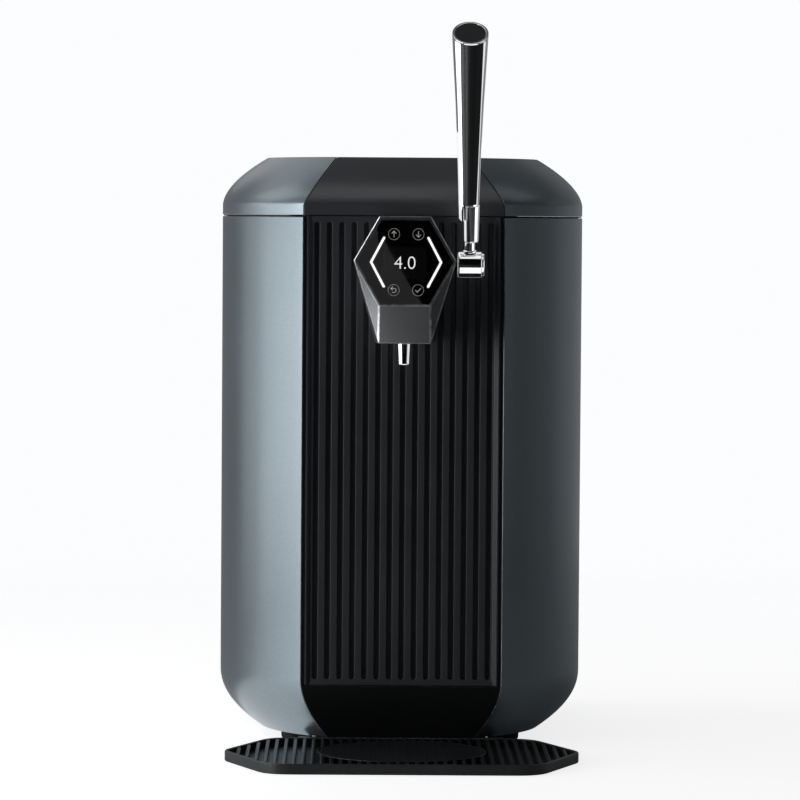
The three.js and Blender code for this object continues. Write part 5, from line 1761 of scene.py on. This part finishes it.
# Cards written the same way, that only the pieces of one finish reflect, or one piece
HEAD_MIDDLE = (0.0, -0.16, 0.4)
HANDLE_MIDDLE = (0.057, -0.14, 0.5)
SLEEVE_LEFT = PIVOT + Vector((-0.019, -0.001, 0.06))
SLEEVE_RIGHT = PIVOT + Vector((0.085, -0.042, 0.02))
CARDS = {
    "chrome": (
        ("chrome_left_card", (-1.3, -0.1, 0.35), HANDLE_MIDDLE, 1.5, 1.4, 1.0),
        ("chrome_right_card", (1.3, -0.15, 0.35), HANDLE_MIDDLE, 1.3, 1.4, 0.8),
        ("chrome_low_card", (0.1, -0.57, 0.03), (0.1, -0.56, 1.0), 1.0, 0.76, 1.2),
        ("sleeve_left_card", SLEEVE_LEFT, SLEEVE_LEFT + Vector((1.0, 0.0, 0.0)), 0.028, 0.11, 0.95, -10),
        ("sleeve_rear_card", (0.058, -0.112, 0.468), (0.058, -1.0, 0.468), 0.05, 0.125, 0.8),
        ("sleeve_right_card", SLEEVE_RIGHT, SLEEVE_RIGHT + Vector((-0.09, 0.035, 0.01)), 0.06, 0.09, 0.85),
        ("chrome_top_card", (0.0, -0.45, 1.7), (0.057, -0.14, 0.4), 1.1, 0.9, 1.0),
    ),
    "head_black": (
        ("head_side_card", (-0.13, -0.3, 0.27), (0.0, -0.16, 0.37), 0.1, 0.1, 3.0),
        ("head_chin_card", (-0.09, -0.38, 0.22), (-0.01, -0.18, 0.32), 0.1, 0.1, 2.6),
        ("head_left_card", (-0.75, -0.3, 0.8), HEAD_MIDDLE, 0.6, 0.6, 5.8),
        ("head_right_card", (0.85, -0.2, 0.88), HEAD_MIDDLE, 0.5, 0.5, 0.6),
    ),
    "shell_left": (
        ("shell_floor_card", (-0.34, -0.3, 0.004), (-0.34, -0.29, 1.0), 0.56, 0.7, 0.75),
    ),
    "lid_black": (
        ("lid_band_card", (0.0, -1.0, 1.9), (0.0, -0.08, 0.5), 1.6, 1.4, 1.15),
    ),
    "lid_paint_left": (
        ("lid_front_card", (-1.19, -0.83, 0.86), (-0.12, -0.05, 0.5), 0.55, 0.5, 4.4),
        ("lid_side_card", (-1.45, -0.05, 0.86), (-0.12, 0.0, 0.5), 0.8, 0.5, 1.4),
    ),
    "handle_black": (
        ("handle_card", (-0.55, -1.3, 0.3), HANDLE_MIDDLE, 0.3, 1.1, 3.0),
    ),
}

# The photograph's view
CAMERA_PLACE = (-0.043, -3.779, 0.468)
CAMERA_LENS = 189.0
CAMERA_DOWN = math.radians(2.52)
CAMERA_RIGHT = math.radians(0.63)
CAMERA_ROLL = math.radians(0.4)


class BEERMACHINE_OT_studio(bpy.types.Operator):
    """Build the studio: pale floor, soft lights and the camera"""

    bl_idname = "beer_machine.studio"
    bl_label = "Studio"

    def execute(self, context):
        self.floor()
        self.sky()
        self.lamps()
        self.camera()
        context.scene.view_settings.view_transform = "Standard"
        return {"FINISHED"}

    def floor(self):
        """A round pale floor that fades into the backdrop."""
        inner, radius, fade_start, fade_end, camera_glow = 0.9, 3.2, 0.45, 1.9, 0.8
        form = turned([(0, 0.0), (inner, 0.0), (radius, 0.0)], 96)
        mesh = bpy.data.meshes.new("studio_floor")
        mesh.from_pydata([tuple(p) for p in form.points], [], form.faces)
        floor = placed("studio_floor", mesh)
        material = bpy.data.materials.new("pale_floor")
        material.use_nodes = True
        tree = Tree(material.node_tree)
        shader = material.node_tree.nodes["Principled BSDF"]
        place = tree.node("ShaderNodeTexCoord").outputs["Object"]
        colour = settings().colours.floor
        grain = tree.spread(tree.noise(place, 60.0), 0.0, 1.0)
        tree.feed(shader.inputs["Base Color"], tree.blend(grain, rgba(colour, 0.985), rgba(colour)))
        shader.inputs["Roughness"].default_value = 0.6
        ray = tree.node("ShaderNodeLightPath")
        shader.inputs["Emission Color"].default_value = (1.0, 1.0, 1.0, 1.0)
        glow = tree.maths("MULTIPLY", ray.outputs["Is Camera Ray"], camera_glow)
        tree.feed(shader.inputs["Emission Strength"], glow)
        distance = tree.node("ShaderNodeVectorMath", {"operation": "LENGTH"})
        tree.feed(distance.inputs[0], place)
        faded = tree.spread(distance.outputs["Value"], 0.0, 1.0, fade_start, fade_end)
        clear = tree.node("ShaderNodeBsdfTransparent")
        mixed = tree.node("ShaderNodeMixShader")
        for socket, value in enumerate((faded, shader.outputs[0], clear.outputs[0])):
            tree.feed(mixed.inputs[socket], value)
        output = material.node_tree.nodes["Material Output"]
        tree.feed(output.inputs["Surface"], mixed.outputs[0])
        mesh.materials.append(material)

    def sky(self):
        """A room that is light behind the machine and dim in front of it, on a white backdrop."""
        front_light, rear_light, right_dimming = 0.002, 0.2, 0.45
        world = bpy.data.worlds.new("studio_room")
        world.use_nodes = True
        bpy.context.scene.world = world
        tree = Tree(world.node_tree)
        background = world.node_tree.nodes["Background"]
        direction = tree.node("ShaderNodeTexCoord").outputs["Generated"]
        split = tree.node("ShaderNodeSeparateXYZ", Vector=direction)
        room = tree.spread(split.outputs["Y"], front_light, rear_light, -0.5, 0.8)
        right = tree.spread(split.outputs["X"], 0.0, right_dimming, -0.1, 0.4)
        dimmed = tree.maths("MULTIPLY", right, tree.spread(split.outputs["Z"], 0.0, 1.0, 0.08, 0.25))
        room = tree.maths("MULTIPLY", room, tree.maths("SUBTRACT", 1.0, dimmed))
        seen = tree.node("ShaderNodeLightPath").outputs["Is Camera Ray"]
        tree.feed(background.inputs["Strength"], tree.maths("MAXIMUM", room, seen))
        background.inputs["Color"].default_value = (0.97, 0.98, 1.0, 1.0)

    def lamps(self):
        """Soft boxes round the machine, and cards that only some pieces reflect."""
        for name, azimuth, lift, width, height, radiance in RING_BOXES:
            angle = math.radians(azimuth)
            place = (-RING_DISTANCE * math.sin(angle), -RING_DISTANCE * math.cos(angle), lift)
            target = (-RING_ASIDE * math.sin(angle), 0.0, lift * RING_LOWER)
            self.lamp(name, place, target, width, height, radiance)
        for name, azimuth, rise, radiance in TOP_BOXES:
            angle, rise = math.radians(azimuth), math.radians(rise)
            place = (-TOP_DISTANCE * math.sin(angle) * math.cos(rise),
                     -TOP_DISTANCE * math.cos(angle) * math.cos(rise),
                     TOP_TARGET[2] + TOP_DISTANCE * math.sin(rise))
            self.lamp(name, place, TOP_TARGET, *TOP_SIZE, radiance)
        for box in LONE_BOXES:
            self.lamp(*box)
        for target, cards in CARDS.items():
            lit = bpy.data.collections.new(target + "_pieces")
            wanted = LOOKS.get(target)
            for piece in bpy.context.scene.objects:
                if piece.type != "MESH":
                    continue
                if piece.name == target or (wanted and wanted in list(piece.data.materials)):
                    lit.objects.link(piece)
            for card in cards:
                self.lamp(*card).light_linking.receiver_collection = lit

    def lamp(self, name, place, target, width, height, radiance, turn=0):
        """A soft box at a place that faces its target, and that the camera doesn't see."""
        data = bpy.data.lights.new(name, "AREA")
        data.shape = "RECTANGLE"
        data.size = width
        data.size_y = height
        data.energy = radiance * math.pi * width * height
        lamp = placed(name, data)
        lamp.visible_camera = False
        aim = (Vector(target) - Vector(place)).to_track_quat("-Z", "Y").to_matrix().to_4x4()
        spin = Matrix.Rotation(math.radians(turn), 4, "Z")
        lamp.matrix_world = Matrix.Translation(place) @ aim @ spin
        return lamp

    def camera(self):
        """The photograph's view: far away, a little above the middle and to the left."""
        data = bpy.data.cameras.new("camera")
        data.lens = CAMERA_LENS
        data.sensor_width = 36.0
        data.clip_end = 50.0
        camera = placed("camera", data)
        sight = Vector((
            math.sin(CAMERA_RIGHT) * math.cos(CAMERA_DOWN),
            math.cos(CAMERA_RIGHT) * math.cos(CAMERA_DOWN),
            -math.sin(CAMERA_DOWN),
        ))
        aim = sight.to_track_quat("-Z", "Y").to_matrix().to_4x4()
        roll = Matrix.Rotation(CAMERA_ROLL, 4, "Z")
        camera.matrix_world = Matrix.Translation(CAMERA_PLACE) @ aim @ roll
        bpy.context.scene.camera = camera


class BEERMACHINE_PT_build(bpy.types.Panel):
    """The machine's operators and sizes in the sidebar"""

    bl_idname = "BEERMACHINE_PT_build"
    bl_label = "Beer machine"
    bl_space_type = "VIEW_3D"
    bl_region_type = "UI"
    bl_category = "Beer machine"

    def draw(self, context):
        for operator in OPERATORS:
            self.layout.operator(operator.bl_idname)
        for name in ("body", "panel", "head", "lever", "tray", "colours"):
            group = getattr(settings(), name)
            box = self.layout.box()
            box.label(text=name.capitalize())
            for field in group.__annotations__:
                box.prop(group, field)
        self.layout.prop(settings(), "reading")


OPERATORS = (
    BEERMACHINE_OT_side_shells,
    BEERMACHINE_OT_front_panel,
    BEERMACHINE_OT_lid,
    BEERMACHINE_OT_head,
    BEERMACHINE_OT_touch_face,
    BEERMACHINE_OT_lever,
    BEERMACHINE_OT_handle,
    BEERMACHINE_OT_tray,
    BEERMACHINE_OT_drip_grid,
    BEERMACHINE_OT_rear,
    BEERMACHINE_OT_base,
    BEERMACHINE_OT_works,
    BEERMACHINE_OT_studio,
)
GROUPS = (BodySizes, PanelSizes, HeadSizes, LeverSizes, TraySizes, FinishColours, MachineSettings)


def register():
    """Registers the classes and the scene's settings."""
    for item in (*GROUPS, *OPERATORS, BEERMACHINE_PT_build):
        bpy.utils.register_class(item)
    bpy.types.Scene.beer_machine = PointerProperty(type=MachineSettings)


def unregister():
    """Takes the classes and the settings away again."""
    del bpy.types.Scene.beer_machine
    for item in reversed((*GROUPS, *OPERATORS, BEERMACHINE_PT_build)):
        bpy.utils.unregister_class(item)


def main():
    """Builds everything in order."""
    register()
    make_looks()
    for operator in OPERATORS:
        group, name = operator.bl_idname.split(".")
        getattr(getattr(bpy.ops, group), name)()


if __name__ == "__main__":
    main()
